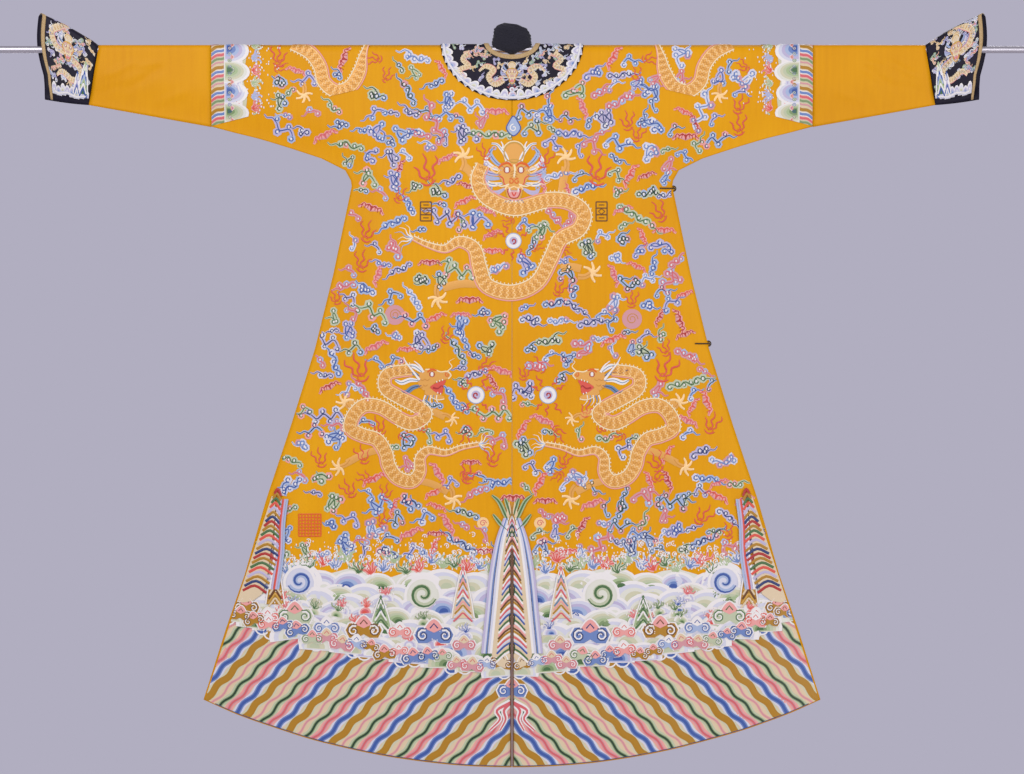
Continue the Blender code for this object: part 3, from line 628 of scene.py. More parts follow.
# Collar pieces and the neck's binding

spokeAngles = [0, 1.7, 3.4, 5.2, 7.0, 8.6, 10.5, 13, 16, 20, 26, 37, 50, 63, 76, 90]
spokeAngles += [180 - angle for angle in spokeAngles[-2::-1]]


def ringLayout(inner, outer, firstSpoke, lastSpoke):
    def layout(along, outward):
        place = mix(firstSpoke, lastSpoke, along) * (len(spokeAngles) - 1)
        angle = np.radians(np.interp(place, range(len(spokeAngles)), spokeAngles))
        halfWidth, depth = mix(inner[0], outer[0], outward), mix(inner[1], outer[1], outward)
        drop = np.maximum(robe["topGap"], depth * np.sin(angle))
        return halfWidth * np.cos(angle), arcLength - drop
    return layout


def bandLayout(along, outward):
    x = mix(2 * mm, robe["underarm"][0] - robe["lapBandShort"], along)
    full = robe["frontCollarDrop"] - robe["frontNeckDrop"]
    width = mix(full, robe["lapBandWidth"], ease(x / 0.16))
    return x, lapEdge(x) - 0.6 * mm - width * outward


def grown(size, width):
    return size[0] + width, size[1] + width


def makeCollar():
    margin = 0.6 * mm
    lift = 2.0 * mm
    backNeck = grown((robe["neckHalfWidth"], robe["backNeckDrop"]), margin)
    frontNeck = grown((robe["neckHalfWidth"], robe["frontNeckDrop"]), margin)
    backCollar = (robe["collarHalfWidth"], robe["backCollarDrop"])
    frontCollar = (robe["collarHalfWidth"], robe["frontCollarDrop"])
    rightEnd = 8 / (len(spokeAngles) - 1)
    pieces = (
        ("collar_back", "back_left", backNeck, backCollar, 0, 1, -1, backLayer, 80, (0.30, 0.15), 0.0245),
        ("collar_front_left", "front_left", frontNeck, frontCollar, 0.5, 1, 1, leftLayer, 46,
         (0.16, 0.16), 0.0165),
        ("collar_front_right", "front_right", frontNeck, frontCollar, 0, rightEnd, 1, backLayer, 30,
         (0.1, 0.05), 0.0042),
    )
    for name, under, inner, outer, first, last, facing, layer, spokes, flat, area in pieces:
        piece = clothSheet("cloth_" + name, spokes, grids["collarRows"], ringLayout(inner, outer, first, last),
                           panelWrap(facing, layer, lift), robe["trimWall"], navySilk)
        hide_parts(name)
    band = clothSheet("cloth_overlap_band", *grids["lapBand"], bandLayout, panelWrap(1, overlapLayer, lift),
                      robe["trimWall"], navySilk)
    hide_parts("overlap_band")
    width = robe["neckBinding"]
    for name, inner, first, last, facing, layer, spokes, flat, area in (
            ("neck_binding_back", backNeck, 0, 1, -1, backLayer, 80, (0.13, 0.01), 0.0013),
            ("neck_binding_left", frontNeck, 0.5, 1, 1, leftLayer, 50, (0.13, 0.01), 0.0012),
            ("neck_binding_right", frontNeck, 0, rightEnd, 1, backLayer, 30, (0.035, 0.01), 0.00026)):
        piece = clothSheet("braid_" + name, spokes, grids["neckBraidRows"],
                           ringLayout(inner, grown(inner, width), first, last),
                           panelWrap(facing, layer, 2 * lift), robe["trimWall"], goldBraid)
        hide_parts(name)


makeCollar()
print("collar made")


# Embroidery: strokes and patches drawn on the flat cloth in mm, as complex numbers x + level j

needle = {
    "lift": 0.5,  # mm above the cloth, so that the work stays clear of it between its points
    "layerStep": 0.2,
    "patchCell": 18,  # patches are cut into squares of this side, so that they follow the cloth
    "sharpAngle": 62,
    "turnLevels": (0, 2.5, 5, 7.5, 10, 12.5),  # the turn over the rod needs short steps
    "outlineMargin": 3,
}


def makeProfile(name, points):
    curve = bpy.data.curves.new(name, "CURVE")
    curve.dimensions = "2D"
    spline = curve.splines.new("POLY")
    spline.points.add(len(points) - 1)
    for spot, (across, up) in zip(spline.points, points):
        spot.co = (across, up, 0, 1)
    profile = bpy.data.objects.new(name, curve)
    bpy.context.scene.collection.objects.link(profile)
    return profile


profiles = {
    "cord": makeProfile("cordProfile", [(-1, 0), (0, 0.36), (1, 0)]),
    "halo": makeProfile("haloProfile", [(-1, 0), (0, 0.03), (1, 0)]),
    "band": makeProfile("bandProfile", [(-1, 0), (-0.5, 0.05), (0.5, 0.05), (1, 0)]),
}


def newWork(name, side=1, swaps=None):
    # side -1 draws everything mirrored, on the wearer's left; swaps changes threads of the motifs in it
    lists = {kind: [] for kind in ("threads", "cord", "halo", "band", "patch")}
    return {"name": name, "side": side, "swaps": swaps or {}, **lists}


def threadNumber(work, thread):
    thread = work["swaps"].get(thread, thread)
    if thread not in work["threads"]:
        work["threads"].append(thread)
    return work["threads"].index(thread)


def onSide(work, points):
    points = np.asarray(points, complex)
    return -points.conjugate() if work["side"] < 0 else points


def stitch(work, thread, points, width, layer=1, kind="cord", closed=False):
    # width is one number, or one for each point
    points = onSide(work, points)
    widths = np.broadcast_to(np.asarray(width, float), points.shape)
    work[kind].append((threadNumber(work, thread), points, widths / 2, layer, closed))


def patch(work, thread, points, layer=0):
    work["patch"].append((threadNumber(work, thread), onSide(work, points), layer))


def flow(points, steps=4, closed=False):
    # smooth line through the points
    p = np.asarray(points, complex)
    if closed:
        ring = np.concatenate([p[-1:], p, p[:2]])
    else:
        ring = np.concatenate([2 * p[:1] - p[1:2], p, 2 * p[-1:] - p[-2:-1]])
    line = []
    for a, b, c, d in zip(ring, ring[1:], ring[2:], ring[3:]):
        for t in np.arange(steps) / steps:
            line.append(0.5 * (2 * b + (c - a) * t + (2 * a - 5 * b + 4 * c - d) * t * t
                               + (3 * b - a - 3 * c + d) * t ** 3))
    if not closed:
        line.append(p[-1])
    return np.array(line)


def arc(centre, radius, start, end, steps=8, tall=1.0):
    angle = np.radians(np.linspace(start, end, steps + 1))
    return centre + radius * (np.cos(angle) + 1j * tall * np.sin(angle))


def spiral(centre, outer, inner, start, turns, steps=12):
    share = np.linspace(0, 1, int(abs(turns) * steps) + 2)
    return centre + mix(outer, inner, share) * np.exp(1j * (math.radians(start) + math.tau * turns * share))


def place(points, at, turn=0, size=1.0, flip=False):
    points = np.asarray(points, complex)
    if flip:
        points = -points.conjugate()
    return at + size * points * np.exp(1j * math.radians(turn))


def dot(work, thread, at, width, layer=2):
    stitch(work, thread, [at - 0.3 * width, at + 0.3 * width], width, layer)


def taper(count, widest, ends=0.25):
    # stroke widths that swell in the middle
    share = np.linspace(0, 1, count)
    return widest * (ends + (1 - ends) * np.sin(math.pi * share) ** 0.7)


def tail(count, widest, thin=0.2):
    return np.linspace(widest, widest * thin, count)


def strokeMesh(work, kind):
    curve = bpy.data.curves.new("strokes", "CURVE")
    curve.dimensions = "3D"
    curve.twist_mode = "Z_UP"
    curve.bevel_mode = "OBJECT"
    curve.bevel_object = profiles[kind]
    curve.use_fill_caps = True
    for thread in work["threads"]:
        curve.materials.append(threadMaterial(thread))
    for number, points, radii, layer, closed in work[kind]:
        spline = curve.splines.new("POLY")
        spline.points.add(len(points) - 1)
        height = np.full(len(points), layer * needle["layerStep"])
        rows = np.stack([points.real, points.imag, height, np.ones(len(points))], axis=-1)
        spline.points.foreach_set("co", rows.ravel())
        spline.points.foreach_set("radius", radii)
        spline.use_cyclic_u = closed
        spline.material_index = number
    holder = bpy.data.objects.new("strokes", curve)
    bpy.context.scene.collection.objects.link(holder)
    shown = holder.evaluated_get(bpy.context.evaluated_depsgraph_get())
    mesh = bpy.data.meshes.new_from_object(shown)
    bpy.data.objects.remove(holder)
    bpy.data.curves.remove(curve)
    return mesh


def cutAcross(shape, point, outward, clear=False):
    # cuts the flat shape along a line through the point; clear drops what lies past it
    bmesh.ops.bisect_plane(shape, geom=shape.verts[:] + shape.edges[:] + shape.faces[:],
                           plane_co=(point.real, point.imag, 0), plane_no=(outward.real, outward.imag, 0),
                           clear_outer=clear)


def addPatches(work, flat):
    cell = needle["patchCell"]
    for number, points, layer in work["patch"]:
        shape = bmesh.new()
        bmesh.ops.create_circle(shape, cap_ends=True, segments=len(points), radius=1)
        for vert, point in zip(shape.verts, points):
            vert.co = (point.real, point.imag, layer * needle["layerStep"])
        bmesh.ops.triangulate(shape, faces=shape.faces)
        for outward, reach in ((1 + 0j, points.real), (1j, points.imag)):
            for step in np.arange(math.floor(reach.min() / cell) * cell, reach.max(), cell):
                cutAcross(shape, step * outward, outward)
        for face in shape.faces:
            face.material_index = number
        mesh = bpy.data.meshes.new("patch")
        shape.to_mesh(mesh)
        shape.free()
        flat.from_mesh(mesh)
        bpy.data.meshes.remove(mesh)


def finishWork(work, surface, cuts=(), outline=False):
    # cuts are (point, outward direction) lines in mm, drawn for the right side: what lies past them is cut off
    flat = bmesh.new()
    for kind in profiles:
        if work[kind]:
            mesh = strokeMesh(work, kind)
            flat.from_mesh(mesh)
            bpy.data.meshes.remove(mesh)
    addPatches(work, flat)
    for point, outward in cuts:
        cutAcross(flat, *onSide(work, [point, outward]), clear=True)
    if max((v.co.y for v in flat.verts), default=0) > 0:
        for level in needle["turnLevels"]:
            cutAcross(flat, 1j * level, 1j)
    if outline:
        beyond = [v for v in flat.verts if abs(v.co.x) > halfWidthAt(v.co.y) - needle["outlineMargin"]]
        bmesh.ops.delete(flat, geom=beyond, context="VERTS")
    flat.normal_update()
    bmesh.ops.reverse_faces(flat, faces=[face for face in flat.faces if face.normal.z < 0])
    mesh = bpy.data.meshes.new(work["name"])
    flat.to_mesh(mesh)
    flat.free()
    spots = np.empty(len(mesh.vertices) * 3)
    mesh.vertices.foreach_get("co", spots)
    spots = spots.reshape(-1, 3) * mm
    spots[:, 2] += needle["lift"] * mm
    mesh.vertices.foreach_set("co", surface(*spots.T).ravel())
    # a surface that turns the drawing over turns its faces too
    middle = spots.mean(axis=0) * (1, 1, 0)
    steps = surface(*(middle + np.vstack([np.zeros(3), np.eye(3) * mm])).T)
    if np.linalg.det(steps[1:] - steps[0]) < 0:
        mesh.flip_normals()
    mesh.update()
    mesh.shade_smooth()
    mesh.set_sharp_from_angle(angle=math.radians(needle["sharpAngle"]))
    piece = newPiece(work["name"], mesh, [threadMaterial(thread) for thread in work["threads"]])
    print(work["name"], sum(len(face.vertices) - 2 for face in mesh.polygons), "triangles")
    return piece


def robeSurface(facing, layer, lift=0.0):
    def surface(x, v, height):
        return clothPoints(x, v, facing, height + lift, layer)
    return surface


# Motifs

cloudColours = [
    ("blue", "paleBlue", "mistBlue"), ("blue", "lavender", "paleBlue"), ("deepBlue", "paleBlue", "pink"),
    ("darkGreen", "moss", "paleBlue"), ("darkGreen", "paleBlue", "mauve"), ("green", "moss", "pink"),
    ("midBlue", "mistBlue", "mauve"), ("rose", "mauve", "paleBlue"), ("deepBlue", "lavender", "mistBlue"),
]


def scrollHead(work, at, size, turn, core, edge, flip=False):
    stitch(work, edge, place(arc(0, 3.6, 0, 360, 6)[:-1], at, turn, size), 8.2 * size, 1, "halo", True)
    stitch(work, core, place(spiral(0, 4.2, 2.8, 200, 0.8, 6), at, turn, size, flip), 1.7 * size, 3)
    dot(work, "white", at, 4.2 * size, 3)


def cloud(work, at, turn, size, colours, heads, chance):
    # a chain of small scroll heads joined by S strokes
    core, edge, second = colours
    here, heading = 0j, chance.choice([-35, 35])
    spots = [here]
    for i in range(heads - 1):
        here += chance.uniform(12, 17) * np.exp(1j * math.radians(heading + chance.uniform(-14, 14)))
        heading = -heading + chance.choice([0, 0, 70]) * (1 if heading < 0 else -1)
        spots.append(here)
    spots = np.array(spots) - sum(spots) / len(spots)
    line = flow(spots, 3)
    sway = np.exp(1j * math.radians(90)) * np.sin(np.linspace(0, math.pi * (heads - 1), len(line))) * 2.2
    line = place(line + sway, at, turn, size)
    stitch(work, edge, line, 7.6 * size, 1, "halo")
    stitch(work, core, line, taper(len(line), 2.2 * size, 0.5), 2)
    trail = place(flow(spots[-1] + [0, 8 + 3j, 16 - 1j, 23 + 2j], 3), at, turn, size)
    stitch(work, edge, trail, tail(len(trail), 6 * size, 0.4), 1, "halo")
    stitch(work, core, trail, tail(len(trail), 1.8 * size, 0.4), 2)
    for i, spot in enumerate(spots):
        lean = 4.6j * (1 if i % 2 else -1)
        headEdge = second if chance.random() < 0.35 else edge
        scrollHead(work, place(spot + lean, at, turn, size), size * chance.uniform(0.85, 1.1), turn + 90 * i,
                   core, headEdge, i % 2 == 0)


def bat(work, at, turn, size, chance):
    thread, edge = chance.choice([("red", "pink"), ("coral", "pink"), ("rose", "pink")])
    for flip in (False, True):
        wing = flow([0, 6 + 5j, 11 + 2j, 16 + 5j, 20 + 0j, 25 - 4j], 3)
        wing = place(wing, at, turn, size, flip)
        stitch(work, edge, wing - 1.5j * size, tail(len(wing), 9 * size, 0.5), 1, "halo")
        stitch(work, thread, wing, tail(len(wing), 2.6 * size, 0.4), 2)
        for root, tip in ((6 + 4j, 8 - 3j), (12 + 3j, 13 - 5j), (18 + 2j, 19 - 6j)):
            stitch(work, thread, place([root, tip], at, turn, size, flip), [2 * size, 0.8 * size], 2)
    stitch(work, thread, place([4j, 0, -6j], at, turn, size), [3 * size, 4 * size, 1.5 * size], 3)
    back = place([-12 + 1j, 0 - 1j, 12 + 1j], at, turn, size)
    stitch(work, "mauve", back, [7 * size, 12 * size, 7 * size], 0, "halo")


def flame(work, at, turn, size, thread="coral", flip=False):
    # tongues of fire in outline
    for line in ([0, 3 + 8j, -2 + 15j, 2 + 23j, -1 + 32j], [0, 9 + 6j, 8 + 14j, 15 + 20j, 13 + 27j],
                 [0, -8 + 5j, -9 + 13j, -14 + 18j], [-9 - 2j, -3 - 6j, 4 - 5j, 9 - 1j]):
        points = place(flow(line, 4), at, turn, size, flip)
        stitch(work, thread, points, taper(len(points), 2.4 * size, 0.35), 2)
    swirl = place(spiral(0, 7, 2.5, 250, 0.9, 9), at, turn, size, flip)
    stitch(work, "orange", swirl, 1.6 * size, 2)


def pearl(work, at, size):
    patch(work, "lavender", arc(at, 15 * size, 0, 360, 20)[:-1], 1)
    stitch(work, "white", arc(at, 11 * size, 0, 360, 16)[:-1], 6.5 * size, 2, "halo", True)
    stitch(work, "paleBlue", arc(at, 14.6 * size, 0, 360, 20)[:-1], 1.6 * size, 2, "cord", True)
    stitch(work, "red", spiral(at, 5.5 * size, 1.5 * size, 260, 0.9, 10), 2.4 * size, 3)
    for i, turn in enumerate((-130, -95, -55, 30, 60, 120, 150)):
        base = at + 17 * size * np.exp(1j * math.radians(turn))
        lick = place(flow([0, 5 + 3j, 9 - 3j, 15 + 2j, 21 + 0j], 3), base, turn, size * (0.8 + 0.15 * (i % 3)))
        stitch(work, "coral", lick, taper(len(lick), 2.6 * size, 0.3), 2)


def claw(work, at, turn, size, flip=False):
    limb = place(flow([-2 - 30j, 3 - 16j, 0], 4), at, turn, size, flip)
    stitch(work, "peach", limb, tail(len(limb), 12 * size, 0.8), 1, "band")
    stitch(work, "peachDark", limb, 1.2, 3)
    stitch(work, "peach", place([-4j, 5j], at, turn, size, flip), 15 * size, 1, "band")
    for angle in (-20, 35, 90, 145, 200):
        toe = [0, 10 * np.exp(1j * math.radians(angle)), 19 * np.exp(1j * math.radians(angle + 16))]
        toe = place(flow(toe, 3), at, turn, size, flip)
        stitch(work, "peachLight", toe, tail(len(toe), 7 * size, 0.6), 2)
        dot(work, "cream", toe[-1], 4.2 * size, 3)


def normals(line):
    along = np.gradient(line)
    return 1j * along / np.abs(along)


def dragonBody(work, path, width, backSides, hand=1, steps=6):
    # backSides are (first point, last point, side) rows: which side of the body its dotted back line is on
    line = flow(path, steps)
    share = np.linspace(0, 1, len(line))
    fine = (width / 30) ** 0.7
    half = width / 2 * (1 - 0.72 * ease((share - 0.7) / 0.3)) * (0.82 + 0.18 * ease(share / 0.12))
    across = normals(line)
    stitch(work, "peach", line, 2 * half, 1, "band")
    reach = np.concatenate([[0], np.cumsum(np.abs(np.diff(line)))])
    row = 0
    for along in np.arange(4, reach[-1] - 10, 6.5 * fine):
        centre, normal = np.interp(along, reach, line), np.interp(along, reach, across)
        size = np.interp(along, reach, half)
        normal /= abs(normal)
        for offset in ((-0.55, 0, 0.55) if row % 2 else (-0.28, 0.28)):
            middle = centre + normal * offset * size
            scale = [middle + normal * size * 0.25, middle - 1j * normal * size * 0.34 * hand,
                     middle - normal * size * 0.25]
            stitch(work, ("peachDark", "peachLight")[row % 2], scale, 1.7 * fine, 5)
        row += 1
    for first, last, side in backSides:
        part = slice(first * steps, last * steps + 1)
        edge = line[part] + side * across[part] * half[part]
        stitch(work, "cream", edge, 2.4 * fine, 4)
        belly = line[part] - side * across[part] * half[part]
        stitch(work, "pink", belly, 2.4 * fine, 4)
        inner = line[part] - side * across[part] * half[part] * 0.72
        stitch(work, "peachLight", inner, 1.4 * fine, 5)
        spans = np.concatenate([[0], np.cumsum(np.abs(np.diff(edge)))])
        beads = line[part] + side * across[part] * (half[part] + 2.6 * fine)
        for along in np.arange(3, spans[-1], 8 * fine):
            dot(work, "cream", np.interp(along, spans, beads), 3.2 * fine, 3)
    return line


def tailTuft(work, at, turn, size):
    for i, angle in enumerate((-55, -32, -10, 12, 34, 56)):
        hair = place(flow([0, 14 + 2j, 26 - 3j, 38 + 3j], 3), at, turn + angle, size * (0.8 + 0.1 * (i % 3)))
        stitch(work, ("cream", "white", "paleBlue")[i % 3], hair, tail(len(hair), 3.4 * size), 2)


def frontHead(work, at, size):
    # the dragon's face seen from the front, about 100 mm across
    def put(points, flip=False):
        return place(points, at, 0, size, flip)
    face = [0 + 24j, 16 + 20j, 27 + 10j, 31 - 4j, 25 - 20j, 17 - 32j, 15 - 48j, 8 - 60j, 0 - 63j]
    face = face + [-p.conjugate() for p in face[-2:0:-1]]
    patch(work, "peach", put(flow(face, 2, True)), 2)
    stitch(work, "couchedGold", put(flow(face, 2, True)), 1.8, 4, "cord", True)
    for flip in (False, True):
        manes = ([20 + 8j, 36 + 18j, 48 + 36j, 42 + 46j], [24 + 2j, 42 + 8j, 56 + 20j, 52 + 32j],
                 [26 - 6j, 46 - 4j, 60 + 4j, 58 + 14j], [26 - 14j, 44 - 14j, 58 - 10j, 62 - 2j],
                 [22 - 24j, 38 - 26j, 50 - 24j, 56 - 16j], [18 - 34j, 32 - 42j, 44 - 42j, 50 - 34j])
        for i, strand in enumerate(manes):
            hair = put(flow(strand, 4), flip)
            thread = ("paleBlue", "white", "lavender")[i % 3]
            stitch(work, thread, hair, taper(len(hair), 9 * size, 0.35), 1, "halo")
            stitch(work, ("blue", "lavender")[i % 2], hair, taper(len(hair), 1.4 * size, 0.5), 2)
            curl = put(spiral(strand[-1] - 3, 5, 1.5, 0, 0.9, 8), flip)
            stitch(work, ("lavender", "paleBlue")[i % 2], curl, 2.4 * size, 2)
        horn = put(flow([12 + 16j, 17 + 32j, 25 + 44j, 34 + 54j, 45 + 56j], 4), flip)
        stitch(work, "white", horn, tail(len(horn), 9 * size, 0.4), 3, "halo")
        stitch(work, "slate", horn, 1.2 * size, 4)
        prong = put(flow([24 + 42j, 22 + 52j, 26 + 60j], 3), flip)
        stitch(work, "white", prong, tail(len(prong), 4 * size, 0.5), 3)
        brow = put(flow([4 + 10j, 12 + 17j, 24 + 14j, 31 + 6j], 4), flip)
        stitch(work, "orange", brow, taper(len(brow), 5 * size, 0.5), 4)
        ear = put(flow([30 + 4j, 40 + 10j, 46 + 4j, 34 - 4j], 3, True), flip)
        stitch(work, "peachLight", ear, 3 * size, 3, "cord", True)
        dot(work, "white", put([14 + 3j], flip)[0], 11 * size, 4)
        stitch(work, "red", put(arc(14 + 3j, 6.2, 0, 360, 10)[:-1], flip), 1.8 * size, 5, "cord", True)
        dot(work, "navy", put([13 + 2.6j], flip)[0], 5 * size, 6)
        cheek = put(flow([30 - 8j, 22 - 14j, 20 - 24j, 14 - 30j], 3), flip)
        stitch(work, "coral", cheek, 2.4 * size, 4)
        nostril = put(spiral(6 - 20j, 6, 2, 60, 1.0, 9), flip)
        stitch(work, "orange", nostril, 2.2 * size, 5)
        whisker = put(flow([10 - 26j, 26 - 30j, 44 - 22j, 60 - 26j, 76 - 18j], 4), flip)
        stitch(work, "cream", whisker, tail(len(whisker), 3.4 * size), 5)
        lip = put(flow([0 - 30j, 8 - 33j, 14 - 30j, 18 - 36j], 3), flip)
        stitch(work, "peachLight", lip, 3.2 * size, 5)
        fang = put([9 - 34j, 8 - 42j], flip)
        stitch(work, "white", fang, [4 * size, 1.2 * size], 6)
        for i in range(4):
            beard = put(flow([(3 + 4 * i) - 58j, (5 + 6 * i) - 66j, (3 + 8 * i) - 74j], 3), flip)
            stitch(work, ("white", "slate")[i % 2], beard, tail(len(beard), 3.4 * size), 3)
    ridge = put(flow([0 + 14j, 2 + 4j, 0 - 12j], 3))
    stitch(work, "cream", ridge, 4 * size, 4)
    for level in (-2, -7, -12):
        wrinkle = put(flow([-7 + 1j * level, 1j * (level + 3), 7 + 1j * level], 3))
        stitch(work, "peachDark", wrinkle, 1.4 * size, 5)
    mouth = flow([-13 - 36j, -6 - 38j, 6 - 38j, 13 - 36j, 11 - 46j, 6 - 53j, -6 - 53j, -11 - 46j], 2, True)
    patch(work, "pink", put(mouth), 4)
    stitch(work, "red", put(mouth), 2 * size, 5, "cord", True)
    stitch(work, "coral", put(flow([-4 - 42j, 0 - 49j, 4 - 42j], 3)), 2.6 * size, 6)
    for x in (-6, -2, 2, 6):
        dot(work, "white", put([x - 39j])[0], 3 * size, 6)
    brow = arc(0 + 38j, 20, 0, 360, 20)[:-1]
    patch(work, "peach", put(brow), 3)
    stitch(work, "couchedGold", put(brow), 2.6 * size, 5, "cord", True)
    stitch(work, "cream", put(arc(0 + 38j, 22.5, 20, 160, 12)), 2.2 * size, 5)


def sideHead(work, at, size, flip=False):
    # the dragon's head from the side, looking along +x with its mouth open, about 80 mm long
    def put(points):
        return place(points, at, 0, size, flip)
    manes = ([-30 + 6j, -48 + 14j, -66 + 12j, -80 + 20j], [-30 - 4j, -50 - 2j, -68 - 8j, -82 - 2j],
             [-26 - 14j, -44 - 18j, -58 - 28j, -72 - 26j], [-24 + 14j, -40 + 26j, -56 + 28j])
    for i, strand in enumerate(manes):
        hair = put(flow(strand, 4))
        stitch(work, ("slate", "white")[i % 2], hair, taper(len(hair), 10 * size, 0.3), 2, "halo")
        stitch(work, ("deepBlue", "slate")[i % 2], hair, 1.6 * size, 3)
    upper = [-34 - 8j, -32 + 10j, -18 + 20j, 0 + 20j, 14 + 15j, 28 + 16j, 36 + 8j, 30 + 0j, 14 - 3j, 2 - 8j,
             -8 - 18j, -22 - 24j]
    patch(work, "peach", put(flow(upper, 2, True)), 3)
    stitch(work, "cream", put(flow(upper[2:8], 4)), 2.6 * size, 5)
    lower = [-14 - 18j, 0 - 24j, 10 - 32j, 20 - 36j, 22 - 42j, 8 - 44j, -8 - 38j, -20 - 30j]
    patch(work, "peach", put(flow(lower, 2, True)), 3)
    stitch(work, "cream", put(flow(lower[4:7], 4)), 2.2 * size, 5)
    inside = [-8 - 16j, 4 - 9j, 16 - 4j, 26 - 3j, 20 - 14j, 18 - 30j, 8 - 30j, -2 - 24j]
    patch(work, "coral", put(flow(inside, 2, True)), 4)
    tongue = put(flow([-2 - 18j, 8 - 20j, 16 - 14j, 20 - 18j], 4))
    stitch(work, "red", tongue, tail(len(tongue), 4 * size, 0.4), 6)
    for spot in (6 - 6j, 12 - 4j, 18 - 2j, 8 - 29j, 14 - 31j):
        dot(work, "white", put([spot])[0], 3.4 * size, 6)
    for line in ([-30 - 2j, -44 + 16j, -58 + 34j, -64 + 46j], [-22 + 14j, -30 + 28j, -42 + 38j]):
        horn = put(flow(line, 4))
        stitch(work, "white", horn, tail(len(horn), 5 * size, 0.3), 5)
    dot(work, "white", put([-4 + 10j])[0], 9 * size, 5)
    stitch(work, "red", put(arc(-4 + 10j, 5.4, 0, 360, 9)[:-1]), 1.6 * size, 6, "cord", True)
    dot(work, "navy", put([-3 + 10j])[0], 4 * size, 7)
    brow = put(flow([-14 + 14j, -6 + 20j, 6 + 18j], 4))
    stitch(work, "orange", brow, taper(len(brow), 4.4 * size, 0.4), 6)
    stitch(work, "orange", put(spiral(28 + 9j, 5, 1.5, 90, 1.0, 8)), 2 * size, 6)
    whisker = put(flow([26 + 14j, 38 + 26j, 32 + 36j, 44 + 44j], 4))
    stitch(work, "cream", whisker, tail(len(whisker), 2.8 * size), 5)
    for i in range(5):
        beard = put(flow([(-18 + 6 * i) - 34j, (-22 + 7 * i) - 46j, (-18 + 8 * i) - 56j], 3))
        stitch(work, ("white", "slate")[i % 2], beard, tail(len(beard), 3.4 * size), 2)
    for i, spot in enumerate((-24 + 2j, -18 - 10j, -14 + 2j, -28 - 14j)):
        stitch(work, "peachDark", put(arc(spot, 5, 200, 340, 4)), 1.3 * size, 5)


def ruyi(work, at, size, colours, turn=0, layer=4):
    # a cloud head: two filled scrolls under a lobed cap
    fill, line, top = colours
    cap = [-30 + 4j, -24 + 15j, -12 + 16j, 0 + 22j, 12 + 16j, 24 + 15j, 30 + 4j, 24 - 9j, 10 - 9j, 0 - 3j,
           -10 - 9j, -24 - 9j]
    patch(work, "white", place(np.array(cap) * 1.1, at, turn, size), layer)
    patch(work, fill, place(cap, at, turn, size), layer + 1)
    for flip in (False, True):
        patch(work, fill, place(arc(17 + 3j, 12, 0, 360, 10)[:-1], at, turn, size, flip), layer + 2)
        stitch(work, "white", place(spiral(17 + 3j, 9, 2.5, 120, -1.25, 8), at, turn, size, flip), 3.4 * size,
               layer + 3, "halo")
        coil = place(spiral(17 + 3j, 11.5, 2.5, 120, -1.35, 8), at, turn, size, flip)
        stitch(work, line, coil, 2 * size, layer + 4)
    lobe = [-15 + 14j, -8 + 24j, 0 + 29j, 8 + 24j, 15 + 14j, 0 + 7j]
    patch(work, top, place(lobe, at, turn, size), layer + 3)
    rim = place(flow(lobe[:-1], 2), at, turn, size)
    stitch(work, "white", rim, 2.4 * size, layer + 4)
    stitch(work, line, place([-6 + 14j, 0 + 21j, 6 + 14j], at, turn, size), 2 * size, layer + 4)


shadings = {
    # threads of a shaded wave, from its pale crest to its deep trough
    "green": ["white", "mist", "sage", "moss", "paleGreen", "olive", "green"],
    "blue": ["white", "mistBlue", "lavender", "paleBlue", "midBlue", "blue"],
    "pale": ["white", "mistBlue", "mist", "sage", "moss"],
    "lavender": ["white", "mistBlue", "lavender", "mistBlue", "white", "mist"],
    "rose": ["white", "pink", "rose", "coral"],
}


def waveHump(work, at, halfWidth, height, shading, turn=0, layer=2, lean=0.22):
    # nested arches of satin stitch, pale at the crest and deep in the trough, which leans to one side
    threads = shadings[shading]
    for i, thread in enumerate(threads):
        share = 1 - i / len(threads) * 0.94
        middle = complex(lean * halfWidth * (1 - share), -0.06 * height * (1 - share))
        arch = arc(middle, halfWidth * share, -14, 194, 12 if halfWidth > 20 else 7, height / halfWidth)
        patch(work, thread, place(arch, at, turn), layer + i * 0.3)


def waveSpiral(work, at, radius, shading, flip=False):
    waveHump(work, at - 0.2j * radius, radius * 1.15, radius * 1.18, "pale", 0, 2, 0)
    waveHump(work, at - 0.1j * radius, radius * 0.84, radius * 0.9, shading, 0, 4.4, 0)
    pale, middle, deep = ("mistBlue", "paleBlue", "blue") if shading == "blue" else ("mist", "moss", "green")
    disc = place(arc(0, 0.66 * radius, 0, 360, 20)[:-1], at, 0)
    patch(work, pale, disc, 8)
    coil = place(spiral(0, 0.62 * radius, 0.1 * radius, 200, 1.35, 16), at, 0, 1, flip)
    inside = place(spiral(0, 0.55 * radius, 0.1 * radius, 200, 1.35, 16), at, 0, 1, flip)
    stitch(work, middle, inside, taper(len(coil), radius * 0.26, 0.5), 9, "halo")
    stitch(work, deep, coil, taper(len(coil), radius * 0.12, 0.3), 11)


def spray(work, at, turn, size, threads, chance, layer=6):
    for i, angle in enumerate((-52, -26, 0, 26, 52)):
        jet = place(flow([0, 10 + 2j, 18 - 2j, 26 + 3j], 2), at, turn + angle + chance.uniform(-6, 6),
                    size * chance.uniform(0.75, 1.1))
        stitch(work, threads[1], jet, tail(len(jet), 8 * size, 0.4), layer, "halo")
        stitch(work, threads[0], jet, tail(len(jet), 2.4 * size, 0.4), layer + 1)
        dot(work, "white", jet[-1] + 1.5, 4.4 * size, layer + 2)


def foam(work, left, right, level, count, chance):
    for i in range(count):
        at = complex(chance.uniform(left, right), level + chance.uniform(-12, 22))
        dot(work, "white", at, chance.uniform(2.6, 4.2), 3)
        if i % 5 == 0:
            stitch(work, "white", arc(at, 4.5, chance.uniform(0, 90), chance.uniform(200, 300), 6), 1.8, 2)


